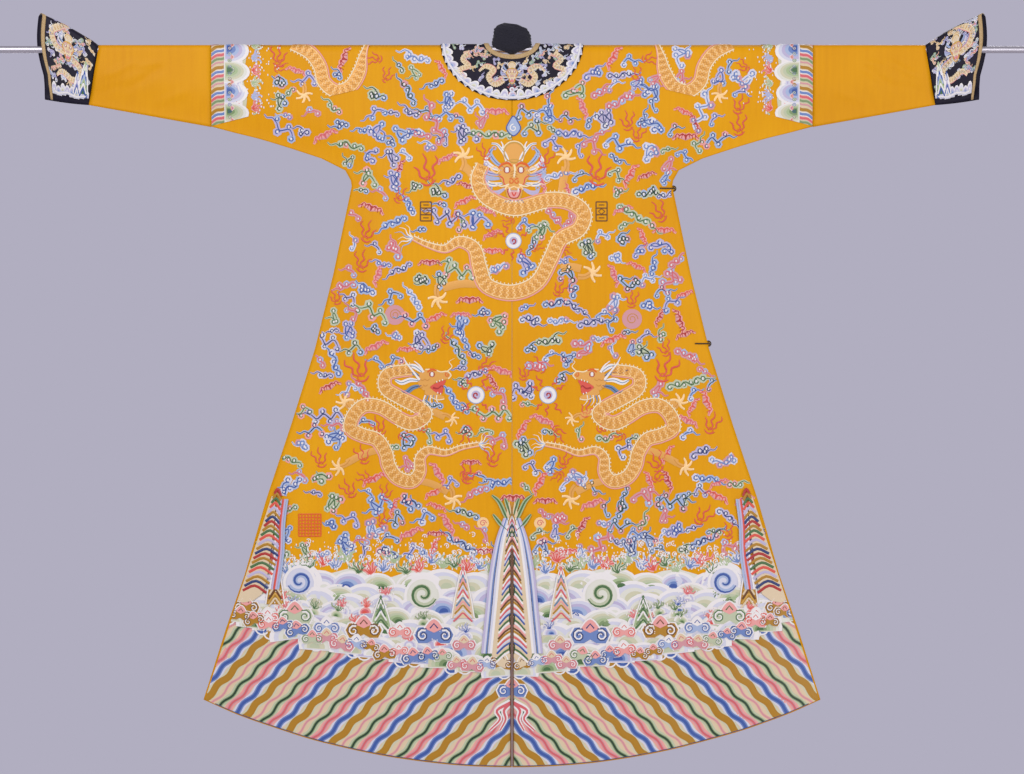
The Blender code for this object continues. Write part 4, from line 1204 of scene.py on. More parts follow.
def mountain(work, foot, halfWidth, height, threads, rows, layer=5):
    # nested chevrons under a peak
    outline = flow([foot - halfWidth, foot - 0.62 * halfWidth + 0.5j * height, foot + 1j * height,
                    foot + 0.62 * halfWidth + 0.5j * height, foot + halfWidth], 4)
    patch(work, threads[0], outline, layer)
    stitch(work, "white", outline, 2.6, layer + 2)
    for i in range(rows):
        top = height * (1 - (i + 0.6) / rows)
        share = 1 - top / height
        wide = halfWidth * (0.12 + 0.8 * share) * 0.92
        rib = flow([foot + 1j * top - wide - 0.55j * height / rows * 2.2, foot + 1j * top - wide * 0.45,
                    foot + 1j * (top + height / rows), foot + 1j * top + wide * 0.45,
                    foot + 1j * top + wide - 0.55j * height / rows * 2.2], 3)
        stitch(work, threads[1 + i % (len(threads) - 1)], rib, 0.42 * height / rows, layer + 2)


print("needlework ready")


# Where the embroidery lies, drawn for the wearer's right half and mirrored for the left, in mm

hemLines = [(x0 + 1j * (-1433.5 + 0.00035 * x0 ** 2), 0.0007 * x0 - 1j) for x0 in range(0, 640, 70)]
sideLine = (532 - 1050j, 252 + 83j)
centreLine = (0.8 + 0j, -1 + 0j)
crestLine = (14j, 1j)


outlineLevels = [-z / mm for x, z in halfOutline[1:]]
outlineWidths = [x / mm for x, z in halfOutline[1:]]


def halfWidthAt(v):
    return np.interp(-v, outlineLevels, outlineWidths)


def stripeTop(x):
    return np.interp(x, [0, 44, 224, 384, 564, 620], [-1250, -1246, -1222, -1196, -1142, -1120])


stripes = {
    "slope": -45.5,
    "period": 114,
    "step": 6.5,
    "sway": 2.7,
    "wavelength": 52,
    "level": -1300,  # where the places along the cycle are measured
    "reach": (-160, 790),
    "headSize": 1.15,
    "headWidth": 10,  # wider stripes end in a scrolled head
    # threads from the core outward, width and place in the cycle
    "cycle": [(("blue", "midBlue", "mistBlue"), 10.5, 0), (("rose", "mauve", "pink"), 7.5, 22),
              (("darkGreen", "olive", "moss"), 7, 43), (("mauve", "pink", "beige"), 5, 64),
              (("ochre", "ochre", "sage"), 14, 88)],
}


def hemLevel(x, level):
    return x + 1j * level + 0.35j * x * x / 1000


def wavyStripe(work, start, length, threads, width, offset):
    # a deep core between two shades that pale outward
    core, middle, halo = threads
    along = np.arange(0, length, stripes["step"])
    sway = stripes["sway"] * np.sin(math.tau * (along + offset) / stripes["wavelength"])
    line = start + (along + 1j * sway) * np.exp(1j * math.radians(stripes["slope"]))
    stitch(work, halo, line, width + 8, 1, "halo")
    stitch(work, middle, line, width, 3, "halo")
    stitch(work, core, line, width * 0.52, 5, "halo")


def hemStripes(name, side, surface):
    work = newWork(name, side)
    ground = [0, 100, 224, 384, 500, 620]
    zone = [x + 1j * (stripeTop(x) + 6) for x in ground] + [625 - 1310j]
    zone += [hemLevel(x, -1445) for x in ground[::-1]]
    patch(work, "beige", zone, 0)
    out = np.exp(1j * math.radians(stripes["slope"]))
    for cycle in range(-1, 8):
        for threads, width, offset in stripes["cycle"]:
            at = -44 + offset + cycle * stripes["period"]
            if not stripes["reach"][0] <= at <= stripes["reach"][1]:
                continue
            # it runs down and out from the stripes' upper boundary, or from the centre line
            start = complex(at, stripes["level"])
            back = 0
            while (start - back * out).imag < stripeTop(max((start - back * out).real, 0)) and back < 260:
                back += stripes["step"]
            if (start - back * out).real < -30:
                back = max(0, start.real / out.real + 20)
            head = start - back * out
            wavyStripe(work, head, back + 230, threads, width, -back)
            if 12 < head.real < 600 and width > stripes["headWidth"]:
                # its scrolled head stands on a cloud of its own shades
                size = stripes["headSize"]
                patch(work, threads[2], arc(head, 13 * size, 0, 360, 12)[:-1], 5)
                stitch(work, "white", arc(head, 12.6 * size, 0, 360, 14)[:-1], 3, 7, "cord", True)
                stitch(work, threads[1], spiral(head, 9.5 * size, 3, -40, -1.4, 10), 5 * size, 7, "halo")
                stitch(work, threads[0], spiral(head, 9 * size, 2.4, -40, -1.4, 10), 2.6 * size, 8)
    # a cloud head over two short tongues, halved by the vent
    ruyi(work, 0 - 1286j, 1.0, ("midBlue", "blue", "pink"), 0, 9)
    for lean in (16, 30):
        tongue = flow([2 - 1306j, lean - 1322j, lean * 0.8 - 1340j, lean * 1.5 - 1362j], 4)
        stitch(work, "white", tongue, tail(len(tongue), 15, 0.4), 8, "halo")
        stitch(work, "rose", tongue, tail(len(tongue), 6, 0.4), 10, "halo")
    # the dark edge of the hem
    stitch(work, "deepBlue", [hemLevel(x, -1433.5) for x in range(0, 616, 22)], 2.2, 8)
    return finishWork(work, surface, [centreLine, sideLine] + hemLines)


water = {
    "rows": 7,
    "spacing": 62,
    "crest": (43, 33),  # half width and height of a rolling crest
    "shadings": ("pale", "green", "pale", "blue", "pale", "lavender", "green"),
    "breakers": 22,
    # level and count of the foam's drops between two places
    "foam": [(40, 510, -1030, 170), (50, 490, -1008, 100), (60, 480, -988, 40)],
    # foot, half width, height, threads and ribs of each rock
    "rocks": [(98 - 1138j, 23, 100, ["beige", "rose", "white", "slate", "pink", "ochre", "mistBlue"], 13),
              (473 - 1110j, 19, 96, ["ochre", "couchedGold", "beige", "brown"], 11),
              (262 - 1160j, 22, 64, ["paleGreen", "green", "white", "olive"], 8)],
    "heads": [("ochre", "brown", "pink"), ("pink", "coral", "white"), ("midBlue", "deepBlue", "pink"),
              ("moss", "green", "pink"), ("mauve", "rose", "beige"), ("paleBlue", "blue", "white")],
    # place, size and colours of the large cloud heads
    "largeHeads": [(296 - 1166j, 1.2, 0), (156 - 1176j, 1.3, 2), (434 - 1138j, 1.2, 3), (532 - 1120j, 0.9, 0),
                   (370 - 1160j, 0.9, 5), (224 - 1168j, 0.8, 1), (488 - 1140j, 0.85, 1), (96 - 1194j, 0.8, 4)],
}


def waterBand(name, side, surface, chance):
    # rolling waves, rocks and spray over the stripes
    work = newWork(name, side)
    ground = [x + 1j * (-1048 + 9 * math.sin(x / 23)) for x in range(30, 541, 30)]
    lower = [x + 1j * (stripeTop(x) - 4) for x in (592, 564, 384, 224, 44, 0)]
    patch(work, "mist", [0 - 1052j] + ground + [560 - 1066j] + lower, 0)
    # rolling crests row by row, each row in front of the one above; no two lie at the same height
    rows = water["rows"]
    for row in range(rows):
        for i in range(10):
            x = 16 + water["spacing"] * (i + 0.5 * (row % 2)) + chance.uniform(-8, 8)
            if x > 575:
                continue
            v = mix(-1078, stripeTop(x) + 4, row / (rows - 1)) + chance.uniform(-4, 4)
            shading = water["shadings"][(i * 2 + row * 3) % 7]
            size = chance.uniform(0.85, 1.15)
            halfWidth, height = (measure * size for measure in water["crest"])
            waveHump(work, complex(x, v), halfWidth, height, shading, chance.uniform(-8, 8),
                     1 + row * 1.6 + 0.11 * (i % 3), chance.choice([-0.3, 0.3]))
    waveSpiral(work, 424 - 1064j, 40, "blue", True)
    waveSpiral(work, 178 - 1090j, 45, "green")
    # small breakers with clawed crests
    for i in range(water["breakers"]):
        at = complex(chance.uniform(52, 545), chance.uniform(-1200, -1096))
        if at.imag > stripeTop(at.real) + 26 and abs(at - 178 + 1090j) > 54 and abs(at - 424 + 1064j) > 52:
            shading = ("blue", "rose", "green", "lavender")[i % 4]
            waveHump(work, at, 15, 13, shading, chance.uniform(-30, 30), 13)
            tint = (["blue", "mistBlue"], ["coral", "pink"], ["green", "moss"], ["rose", "pink"])[i % 4]
            spray(work, at + 10j, 90 + chance.uniform(-30, 30), 0.72, tint, chance, 14)
            for bead in range(5):
                dot(work, "white", at + complex(chance.uniform(-18, 18), chance.uniform(4, 22)), 3.4, 16)
    # sprays and foam that stand up into the field
    for i, x in enumerate(range(44, 520, 24)):
        tint = (["paleGreen", "moss"], ["midBlue", "mistBlue"], ["coral", "pink"], ["green", "moss"])[i % 4]
        spray(work, x - 1j * chance.uniform(1024, 1050), 90 + chance.uniform(-16, 16), 1.15, tint, chance, 1)
    for drops in water["foam"]:
        foam(work, *drops, chance)
    for rock in water["rocks"]:
        mountain(work, *rock, 15)
    heads = water["heads"]
    for at, size, number in water["largeHeads"]:
        ruyi(work, at, size, heads[number], 0, 16)
    # a bank of cloud heads along the tops of the stripes
    for i, x in enumerate(range(22, 600, 29)):
        ruyi(work, complex(x, stripeTop(x) + chance.uniform(4, 20)), chance.uniform(0.62, 0.86),
             heads[(i * 5 + i // 3) % 6], chance.uniform(-14, 14), 18 + 0.4 * (i % 2))
    return finishWork(work, surface, [centreLine, sideLine])


peaks = {
    "foot": -1216,
    "peak": -936,
    "ribs": 48,
    "ribThreads": ["ochre", "white", "rose", "mistBlue", "blue", "beige", "green", "white", "pink", "brown"],
    # how far out, thread, width and kind of each stripe down the centre mountain's flank
    "flankStripes": [(0, "white", 4.6, "halo"), (4.5, "mistBlue", 4.6, "halo"), (9.5, "midBlue", 2.8, "cord"),
                     (13.5, "mistBlue", 4.6, "halo"), (17.5, "lavender", 4.6, "halo")],
    "sideTop": -880,
    "sideRibs": 22,
    "sideRibThreads": ("red", "ochre", "green", "coral", "lavender", "ochre", "deepBlue"),
    "sideStripes": [(0, "white", "halo"), (4.4, "lavender", "halo"), (8.8, "coral", "cord"),
                    (12.6, "lavender", "halo"), (17, "paleBlue", "halo")],
}


def rockPeaks(name, side, surface):
    # the tall centre mountain's half, and the side mountain
    work = newWork(name, side)
    flank = [2 - 920j, 14 - 944j, 22 - 1010j, 30 - 1100j, 40 - 1212j, 2 - 1212j]
    patch(work, "beige", flow(flank, 3, True), 21.5)
    threads = peaks["ribThreads"]
    for i in range(peaks["ribs"]):
        top = mix(peaks["peak"], peaks["foot"], i / peaks["ribs"])
        wide = mix(7, 32, (i + 1) / peaks["ribs"])
        rib = [0 + 1j * (top + 8), wide * 0.5 + 1j * (top - 1), wide + 1j * (top - 16)]
        stitch(work, threads[i % len(threads)], flow(rib, 3), 3.6, 23)
        if i % 10 == 3:
            fork = flow([0 + 1j * (top + 3), 5 + 1j * (top - 6), 3 + 1j * (top - 22)], 3)
            stitch(work, "darkGreen", fork, 3, 25)
    for offset, thread, width, kind in peaks["flankStripes"]:
        edge = flow([6 + offset * 0.5 - 938j, 17 + offset * 0.8 - 985j, 26 + offset - 1050j,
                     34 + offset - 1130j, 42 + offset - 1208j], 6)
        stitch(work, thread, edge, width, 23, kind)
    for line in ([4 - 950j, 14 - 930j, 26 - 905j, 40 - 892j], [6 - 965j, 22 - 950j, 38 - 930j],
                 [3 - 935j, 8 - 915j, 14 - 898j]):
        leaf = flow(line, 4)
        stitch(work, "paleGreen", leaf, taper(len(leaf), 9, 0.4), 20, "halo")
        stitch(work, "green", leaf, taper(len(leaf), 3.4, 0.4), 22)
    # side mountain: nested scales that follow the side edge, with a striped border on its inner side
    for i in range(peaks["sideRibs"]):
        level = peaks["sideTop"] - 9.2 * i
        wide = mix(5, 24, min(1, (i + 1) / 14))
        outer = 532 + (level + 1050) * -83 / 252 - 1
        rib = flow([outer - wide * 2 + 1j * (level - 14), outer - wide + 1j * level,
                    outer + 1j * (level - 10)], 3)
        stitch(work, peaks["sideRibThreads"][i % 7], rib, 5.4, 23)
    for offset, thread, kind in peaks["sideStripes"]:
        edge = [outer - offset + 1j * level for outer, level in
                ((466, -900), (472, -950), (474, -1010), (484, -1080))]
        stitch(work, thread, flow(edge, 6), 4, 23, kind)
    band = [474 - 905j, 497 - 905j, 520 - 1000j, 552 - 1100j, 500 - 1090j, 482 - 1000j]
    patch(work, "beige", flow(band, 3, True), 21.5)
    # painted shadow down the vent: a brown stroke beside the seam line stands in for the shade in the vent's
    # gap
    stitch(work, "brown", [1.9 - 1000j, 1.9 - 1120j, 2 - 1220j, 2.1 - 1330j, 2.1 - 1432j], 2.6, 26)
    return finishWork(work, surface, [centreLine, sideLine])


def latticeMark(work, at, wide, tall, thread):
    # a plain woven mark of bars and lozenges
    for share in (-1, -0.35, 0.35, 1):
        stitch(work, thread, [at - wide + 1j * share * tall, at + wide + 1j * share * tall], 2.2, 2)
    for share in (-1, 1):
        stitch(work, thread, [at + share * wide + 1j * tall, at + share * wide - 1j * tall], 2.2, 2)
    lozenge = [at - wide * 0.6, at + 0.3j * tall, at + wide * 0.6, at - 0.3j * tall]
    stitch(work, thread, lozenge, 1.8, 3, "cord", True)
    for level in (-0.68, 0.68):
        stitch(work, thread, [at - 0.5 * wide + 1j * level * tall, at + 0.5 * wide + 1j * level * tall], 1.8, 2)


mainPath = [-58 - 232j, -68 - 262j, -50 - 296j, 4 - 318j, 68 - 303j, 112 - 306j, 142 - 328j, 133 - 360j,
            98 - 380j, 78 - 420j, 50 - 468j, 0 - 488j, -50 - 474j, -66 - 437j, -76 - 400j, -105 - 386j,
            -134 - 400j, -168 - 392j, -198 - 378j]
sidePath = [200 - 642j, 247 - 650j, 252 - 677j, 222 - 697j, 187 - 716j, 174 - 732j, 199 - 748j, 227 - 738j,
            262 - 717j, 295 - 714j, 317 - 735j, 321 - 760j, 298 - 773j, 270 - 782j, 253 - 808j, 247 - 833j,
            230 - 857j, 201 - 865j, 184 - 846j, 183 - 818j, 166 - 803j, 133 - 808j, 101 - 797j, 66 - 790j]
shoulderPath = [440 + 10j, 405 - 6j, 384 - 34j, 375 - 66j, 350 - 84j, 322 - 74j, 304 - 44j, 298 - 14j,
                290 + 11j]
# where each claw is, its turn and size, and the limbs that lead to them
mainClaws = [(-98 - 214j, 0, 1.0), (107 - 217j, 0, 1.0), (-148 - 500j, 180, 1.0), (160 - 447j, -70, 1.0)]
sideClaws = [(334 - 706j, -50, 0.9), (346 - 836j, -120, 0.9), (118 - 900j, 165, 0.95), (120 - 740j, 120, 0.7)]
mainLimbs = [(-70 - 268j, -98 - 232j), (98 - 300j, 107 - 236j), (-70 - 470j, -138 - 478j),
             (98 - 440j, 138 - 440j)]
sideLimbs = [(296 - 716j, 326 - 710j), (262 - 800j, 330 - 828j), (190 - 862j, 128 - 886j),
             (184 - 722j, 134 - 736j)]
latticePlaces = [-172 - 325j, 179 - 325j]
roundPlaces = [-234 - 532j, 240 - 540j]
orangeSquare = {"centre": -404 - 952j, "half": 22, "bars": 8}


def drawLimbs(work, claws, limbs, width):
    for at, turn, size in claws:
        claw(work, at, turn, size)
    for root, tip in limbs:
        stitch(work, "peach", flow([root, mix(root, tip, 0.5) + 4j, tip], 4), width, 1, "band")


def mainDragon(name, surface, face):
    work = newWork(name)
    drawLimbs(work, mainClaws, mainLimbs, 16)
    dragonBody(work, mainPath, 31, [(0, 4, -1), (4, 8, 1), (8, 18, -1)])
    tailTuft(work, mainPath[-1], 170, 1.0)
    frontHead(work, face, 1.0)
    pearl(work, 3 - 384j, 1.05)
    flame(work, -168 - 262j, 10, 1.7)
    flame(work, 170 - 262j, -10, 1.7, "coral", True)
    for at, turn in ((-35 - 372j, 60), (44 - 400j, -50), (0 - 344j, 90), (100 - 398j, -120),
                     (-110 - 330j, 150)):
        flame(work, at, turn, 0.7)
    # the jewel over its head
    jewel = flow([3 - 174j, 17 - 160j, 12 - 146j, 3 - 134j, -6 - 146j, -11 - 160j], 3, True)
    patch(work, "paleBlue", jewel, 1)
    stitch(work, "blue", jewel, 2.2, 3, "cord", True)
    stitch(work, "white", spiral(3 - 158j, 8, 2, 90, 1.1, 10), 2.4, 3)
    for at in latticePlaces:
        latticeMark(work, at, 11, 19, "brown")
    for at in roundPlaces:
        patch(work, "mauve", arc(at, 20, 0, 360, 20)[:-1], 0)
        stitch(work, "peachDark", spiral(at, 12, 3, 0, 1.6, 10), 1.6, 1)
    for at in (-58 - 948j, 56 - 948j):
        patch(work, "peachLight", arc(at, 12, 0, 360, 14)[:-1], 0)
        stitch(work, "rose", spiral(at, 7, 2, 0, 1.3, 8), 1.6, 1)
    bat(work, 2 - 898j, 0, 1.1, random.Random(3))
    if name.endswith("back"):
        # a square of couched orange lattice, low on the wearer's left
        centre, half = orangeSquare["centre"], orangeSquare["half"]
        for step in np.linspace(-half, half, orangeSquare["bars"]):
            stitch(work, "orange", [centre + complex(step, -half), centre + complex(step, half)], 2.6, 2)
            stitch(work, "orange", [centre + complex(-half, step), centre + complex(half, step)], 2.6, 3)
    return finishWork(work, surface)


def sideDragon(name, side, surface):
    work = newWork(name, side)
    drawLimbs(work, sideClaws, sideLimbs, 14)
    dragonBody(work, sidePath, 28, [(0, 4, 1), (4, 7, -1), (7, 11, 1), (11, 23, -1)])
    tailTuft(work, sidePath[-1], 170, 0.9)
    sideHead(work, 156 - 660j, 0.95, True)
    pearl(work, 72 - 692j, 1.15)
    for at, turn, size in ((60 - 640j, 60, 1.0), (88 - 760j, -150, 1.0), (300 - 655j, -20, 1.6),
                           (222 - 775j, 90, 0.8), (176 - 760j, -60, 0.9), (98 - 850j, 120, 0.8),
                           (286 - 860j, -60, 0.9)):
        flame(work, at, turn, size)
    return finishWork(work, surface, [centreLine])


shoulderBand = {
    # thread, halo and width of each stripe of the band at the sleeve's seam
    "cycle": [("midBlue", "white", 5), ("ochre", "beige", 6), ("mauve", "beige", 3), ("olive", "moss", 4),
              ("rose", "pink", 4)],
    "bottom": -176,
    "top": 14,
    # foot, half width, height and shading of the waves beside the stripes
    "waves": [(566 - 4j, 26, 40, "blue"), (566 - 46j, 24, 42, "green"), (566 - 88j, 24, 38, "blue"),
              (566 - 128j, 22, 40, "green"), (562 - 24j, 18, 24, "rose"), (562 - 68j, 18, 24, "lavender"),
              (562 - 108j, 18, 24, "rose"), (560 - 150j, 16, 24, "blue")],
    "heads": (("ochre", "brown", "pink"), ("paleGreen", "green", "pink"), ("paleBlue", "blue", "pink")),
    "sprays": (["paleGreen", "sage"], ["paleBlue", "lavender"], ["coral", "pink"]),
}


def shoulderWork(name, side, surface, chance):
    # a dragon over the shoulder, and the band of waves and stripes at the sleeve's seam
    work = newWork(name, side)
    dragonBody(work, shoulderPath, 27, [(0, 4, 1), (4, 8, -1)])
    claw(work, 416 - 92j, 175, 0.85)
    claw(work, 316 - 112j, 190, 0.8)
    flame(work, 266 - 20j, -80, 0.9)
    flame(work, 252 - 62j, 20, 0.9)
    flame(work, 470 - 40j, 60, 0.8)
    patch(work, "beige", [562 + 14j, 601.5 + 14j, 601.5 - 152j, 590 - 157j, 562 - 164j], 0)
    level, turn = shoulderBand["bottom"], 0
    while level < shoulderBand["top"]:
        thread, halo, width = shoulderBand["cycle"][turn % 5]
        line = flow([1j * level + spot for spot in (604 - 6j, 592 + 3j, 578 + 5j, 562 + 14j)], 4)
        stitch(work, halo, line, width * 1.7, 1, "halo")
        stitch(work, thread, line, width, 3, "band")
        level += width + 4
        turn += 1
    ground = [566 + 14j, 540 + 14j, 532 - 20j, 538 - 60j, 530 - 100j, 536 - 150j, 545 - 168j, 566 - 164j]
    patch(work, "sage", ground, 1)
    for at, wide, tall, shading in shoulderBand["waves"]:
        waveHump(work, at, wide, tall, shading, 90, 2.6 + tall / 14)
    for i, level in enumerate((8, -16, -42, -66, -94, -118, -142, -162)):
        ruyi(work, 566 + 1j * level, 0.36, shoulderBand["heads"][i % 3], 90)
        turn = 180 + chance.uniform(-20, 20)
        spray(work, 520 + 1j * level, turn, 0.8, shoulderBand["sprays"][i % 3], chance, 2)
    for i in range(70):
        at = complex(chance.uniform(462, 530), chance.uniform(-165, 8))
        if at.imag > -sleeveDrop(at.real):
            dot(work, "white", at, chance.uniform(2.6, 3.8), 3)
    edges = [(601.5 + 0j, 1 + 0j), (603 - 153j, -24 - 98j), (505 - 177j, -17 - 56j), (449 - 193j, -22 - 67j)]
    return finishWork(work, surface, [crestLine] + edges)


def sleeveDrop(x):
    # how far down the sleeve reaches at that distance from the centre
    return np.interp(x, [320, 334, 382, 449, 505, 603], [262, 238, 214, 192, 175, 151]) - 6


field = {
    # space between centres, reach, heads to a cloud and size, from the large clouds to the small
    "sizes": [(46, 21, (4, 5, 6), 1.2), (34, 14, (3, 4), 1.08), (24, 8, (2, 3), 0.95)],
    "frontSpacing": 1.36,  # the front is worked more openly
    "tries": 1600,
    "bottom": -1010,
}


def fieldWork(name, side, surface, chance, collarDrop, keepOut):
    # clouds, bats and flames scattered over what the dragons leave free
    work = newWork(name, side)
    spots = []

    def free(at, gap, reach):
        if at.real < 20 or at.real > halfWidthAt(at.imag) - 10 - reach or at.real > 470 and at.imag > -200:
            return False
        if at.real > 330 and -268 < at.imag < 16 - sleeveDrop(at.real):
            return False
        ring = (at.real / (143 + reach)) ** 2 + ((14.6 - at.imag) / (collarDrop + reach)) ** 2
        if ring < 1 or not field["bottom"] <= at.imag <= -8:
            return False
        drawn = -at.conjugate() if side < 0 else at
        if any(abs(drawn - spot) < radius + reach for spot, radius in keepOut):
            return False
        return all(abs((at - other).real / 1.15 + 1j * (at - other).imag) > gap for other in spots)

    count = 0
    for gap, reach, heads, size in field["sizes"]:
        if collarDrop > 130:
            gap *= field["frontSpacing"]
        for i in range(field["tries"]):
            at = complex(chance.uniform(20, 600), chance.uniform(field["bottom"], -8))
            if not free(at, gap, reach):
                continue
            spots.append(at)
            count += 1
            if count % 6 == 4:
                bat(work, at, chance.choice([0, 20, -25, 60, -70]), size * 0.9, chance)
            elif count % 11 == 7:
                flame(work, at - 10j, chance.uniform(-40, 40), size)
            else:
                turn, colours = chance.choice([0, 0, 14, -16, 28, -30, 62]), chance.choice(cloudColours)
                cloud(work, at, turn, size * 0.98, colours, chance.choice(heads), chance)
    return finishWork(work, surface, [centreLine], True)


def keepOutSpots(face):
    # circles (centre, radius) that the dragons and the jewels take up, in the drawing of the whole side
    spots = [(spot, 15) for spot in flow(mainPath, 3)]
    spots += [(face, 48), (face + 30j, 40), (3 - 384j, 24), (-168 - 238j, 26), (170 - 238j, 26), (3 - 156j, 18)]
    spots += [(at, 22) for at, turn, size in mainClaws]
    spots += [(at, 20) for at in latticePlaces + roundPlaces] + [(orangeSquare["centre"], 26)]
    for sign in (1, -1):
        half = [(spot, 14) for spot in flow(sidePath, 3)]
        half += [(156 - 660j, 42), (72 - 692j, 26), (200 - 640j, 24)]
        half += [(at, 20) for at, turn, size in sideClaws] + [(300 - 640j, 24)]
        half += [(spot, 14) for spot in flow(shoulderPath, 3)]
        half += [(416 - 100j, 22), (316 - 118j, 20), (260 - 40j, 22)]
        half += [(30 - 920j, 26), (490 - 930j, 26), (20 - 960j, 20), (57 - 948j, 12)]
        spots += half if sign > 0 else [(-spot.conjugate(), radius) for spot, radius in half]
    return spots


def embroiderRobe():
    face = 4 - 245j
    keepOut = keepOutSpots(face)
    for word, facing, layer, drop in (("back", -1, backLayer, 117), ("front", 1, frontLayer, 160)):
        surface = robeSurface(facing, layer)
        mainDragon("dragon_main_" + word, surface, face)
        for hand, side in (("left", -1), ("right", 1)):
            chance = random.Random(11 + 2 * facing + side)
            ending = word + "_" + hand
            sideDragon("dragon_side_" + ending, side, surface)
            shoulderWork("shoulder_" + ending, side, surface, chance)
            fieldWork("clouds_" + ending, side, surface, chance, drop, keepOut)
            waterBand("waves_" + ending, side, surface, chance)
            rockPeaks("rocks_" + ending, side, surface)
            hemStripes("stripes_" + ending, side, surface)


embroiderRobe()
print("robe embroidered")


# Embroidery on the navy collar pieces and cuffs

def ringSpot(angle, share, neck, collar):
    turn = math.radians(angle)
    return (mix(neck[0], collar[0], share) * math.cos(turn)
            + 1j * (14.6 - mix(neck[1], collar[1], share) * math.sin(turn)))


def waveBorder(work, spots, inward, size):
    # a run of small breakers along an edge, their crests turned away from it
    for i, (at, toward) in enumerate(zip(spots, inward)):
        turn = math.degrees(np.angle(toward)) - 90
        shading = ("blue", "lavender", "pale")[i % 3]
        waveHump(work, at, 9.5 * size, 15 * size * (1 + 0.25 * (i % 2)), shading, turn, 2 + 0.3 * (i % 2))
    line = np.array(spots)
    stitch(work, "mistBlue", line, 5, 7, "halo")
    stitch(work, "white", line, 2.2, 9)


# half width and drop of the neck and of the collar's edge, at the back and at the front
collarRings = {"back": ((57, 35), (143, 117.3)), "front": ((57, 99), (143, 159.3))}
collarClouds = [
    ("blue", "lavender", "white"), ("paleBlue", "white", "lavender"), ("slate", "paleGreen", "mist"),
    ("rose", "beige", "lavender"), ("couchedGold", "beige", "mist"), ("slate", "mistBlue", "mist"),
]


# the trims' dragons are paler than the robe's
paleGold = {
    "peach": "beige", "peachDark": "couchedGold", "peachLight": "cream", "orange": "mauve", "coral": "rose",
}


def embroiderCollar():
    lift = 2.0 * mm
    backNeck, backCollar = collarRings["back"]
    frontNeck, frontCollar = collarRings["front"]
    chance = random.Random(5)
    work = newWork("collar_work_back", 1, paleGold)
    angles = np.arange(2, 179, 7.3)
    spots = [ringSpot(a, 0.93, backNeck, backCollar) for a in angles]
    waveBorder(work, spots, [-spot - 20j for spot in spots], 0.92)
    dragonBody(work, [-16 - 62j, -34 - 70j, -46 - 56j, -36 - 42j, -52 - 34j, -66 - 44j], 10, [(0, 5, 1)])
    dragonBody(work, [16 - 62j, 34 - 70j, 46 - 56j, 36 - 42j, 52 - 34j, 66 - 44j], 10, [(0, 5, -1)])
    for side in (-1, 1):
        path = [side * x + 1j * v for x, v in ((84, -8), (98, -20), (86, -34), (104, -42), (92, -58))]
        dragonBody(work, path, 9, [(0, 4, side)])
    frontHead(work, -47j, 0.36)
    pearl(work, -81j, 0.34)
    for i in range(60):
        at = ringSpot(chance.uniform(4, 176), chance.uniform(0.08, 0.78), backNeck, backCollar)
        if abs(at + 50j) > 24:
            cloud(work, at, chance.uniform(-60, 60), 0.42, collarClouds[i % 6], 3, chance)
    finishWork(work, robeSurface(-1, backLayer, lift), [crestLine])
    for name, angles, layer in (("collar_work_front_left", np.arange(93, 179, 8), leftLayer),
                                ("collar_work_front_right", np.arange(2, 15, 6), backLayer)):
        work = newWork(name, 1, paleGold)
        spots = [ringSpot(a, 0.92, frontNeck, frontCollar) for a in angles]
        waveBorder(work, spots, [-spot - 20j for spot in spots], 0.85)
        for i in range(34 if len(angles) > 4 else 8):
            at = ringSpot(chance.uniform(angles[0], angles[-1]), chance.uniform(0.15, 0.7), frontNeck,
                          frontCollar)
            cloud(work, at, chance.uniform(-60, 60), 0.42, collarClouds[i % 6], 3, chance)
        finishWork(work, robeSurface(1, layer, lift), [crestLine])
    work = newWork("collar_work_overlap", 1, paleGold)
    places = np.arange(12, 286, 12)
    edge = [complex(x, lapEdge(x * mm) / mm - (mix(70, 46, ease(x / 160)) - 7)) for x in places]
    waveBorder(work, edge, [1j + 0.35] * len(edge), 0.8)
    for i in range(44):
        x = chance.uniform(12, 282)
        at = complex(x, lapEdge(x * mm) / mm - chance.uniform(10, mix(44, 26, ease(x / 160))))
        cloud(work, at, chance.uniform(-60, 60), 0.4, collarClouds[i % 6], 3, chance)
    finishWork(work, robeSurface(1, overlapLayer, lift))


def cuffSurface(side, facing):
    # the cuff drawn flat: x from its seam to its edge over 100 mm, level from the fold down 110 mm
    def surface(x, v, height):
        around = np.interp(v / mm, [-110, 0, 16], [0, wallPart, 0.5])
        if facing > 0:
            around = 1 - around
        return cuffPoints(side, height)(np.clip(x / 0.1, 0, 1), around)
    return surface


def embroiderCuffs():
    chance = random.Random(9)
    for word, side in (("left", -1), ("right", 1)):
        for facing, wall in ((-1, "back"), (1, "front")):
            work = newWork(f"cuff_work_{word}_{wall}", 1, paleGold)
            spots = [complex(x, -97 + 2 * math.sin(x)) for x in range(8, 92, 11)]
            waveBorder(work, spots, [1j] * len(spots), 0.75)
            dragonBody(work, [44 - 40j, 26 - 50j, 22 - 66j, 40 - 74j, 62 - 66j, 76 - 74j], 9, [(0, 5, 1)])
            dragonBody(work, [56 - 36j, 72 - 30j, 80 - 14j, 66 - 2j, 50 + 6j], 9, [(0, 4, -1)])
            frontHead(work, 50 - 26j, 0.33)
            mountain(work, 16 - 92j, 11, 54, ["green", "paleGreen", "white", "blue", "paleBlue"], 7)
            mountain(work, 30 - 94j, 8, 34, ["paleBlue", "blue", "white", "lavender"], 5)
            for i in range(56):
                at = complex(chance.uniform(7, 90), chance.uniform(-84, 13))
                if abs(at - 50 + 26j) > 17:
                    cloud(work, at, chance.uniform(-60, 60), 0.4, collarClouds[i % 6], 3, chance)
            cuts = [crestLine, (92.5 + 0j, 1 + 0j), (2 + 0j, -1 + 0j)]
            finishWork(work, cuffSurface(side, facing), cuts)


embroiderCollar()
embroiderCuffs()
print("collar and cuffs embroidered")


# Neck wrap, rod and toggles

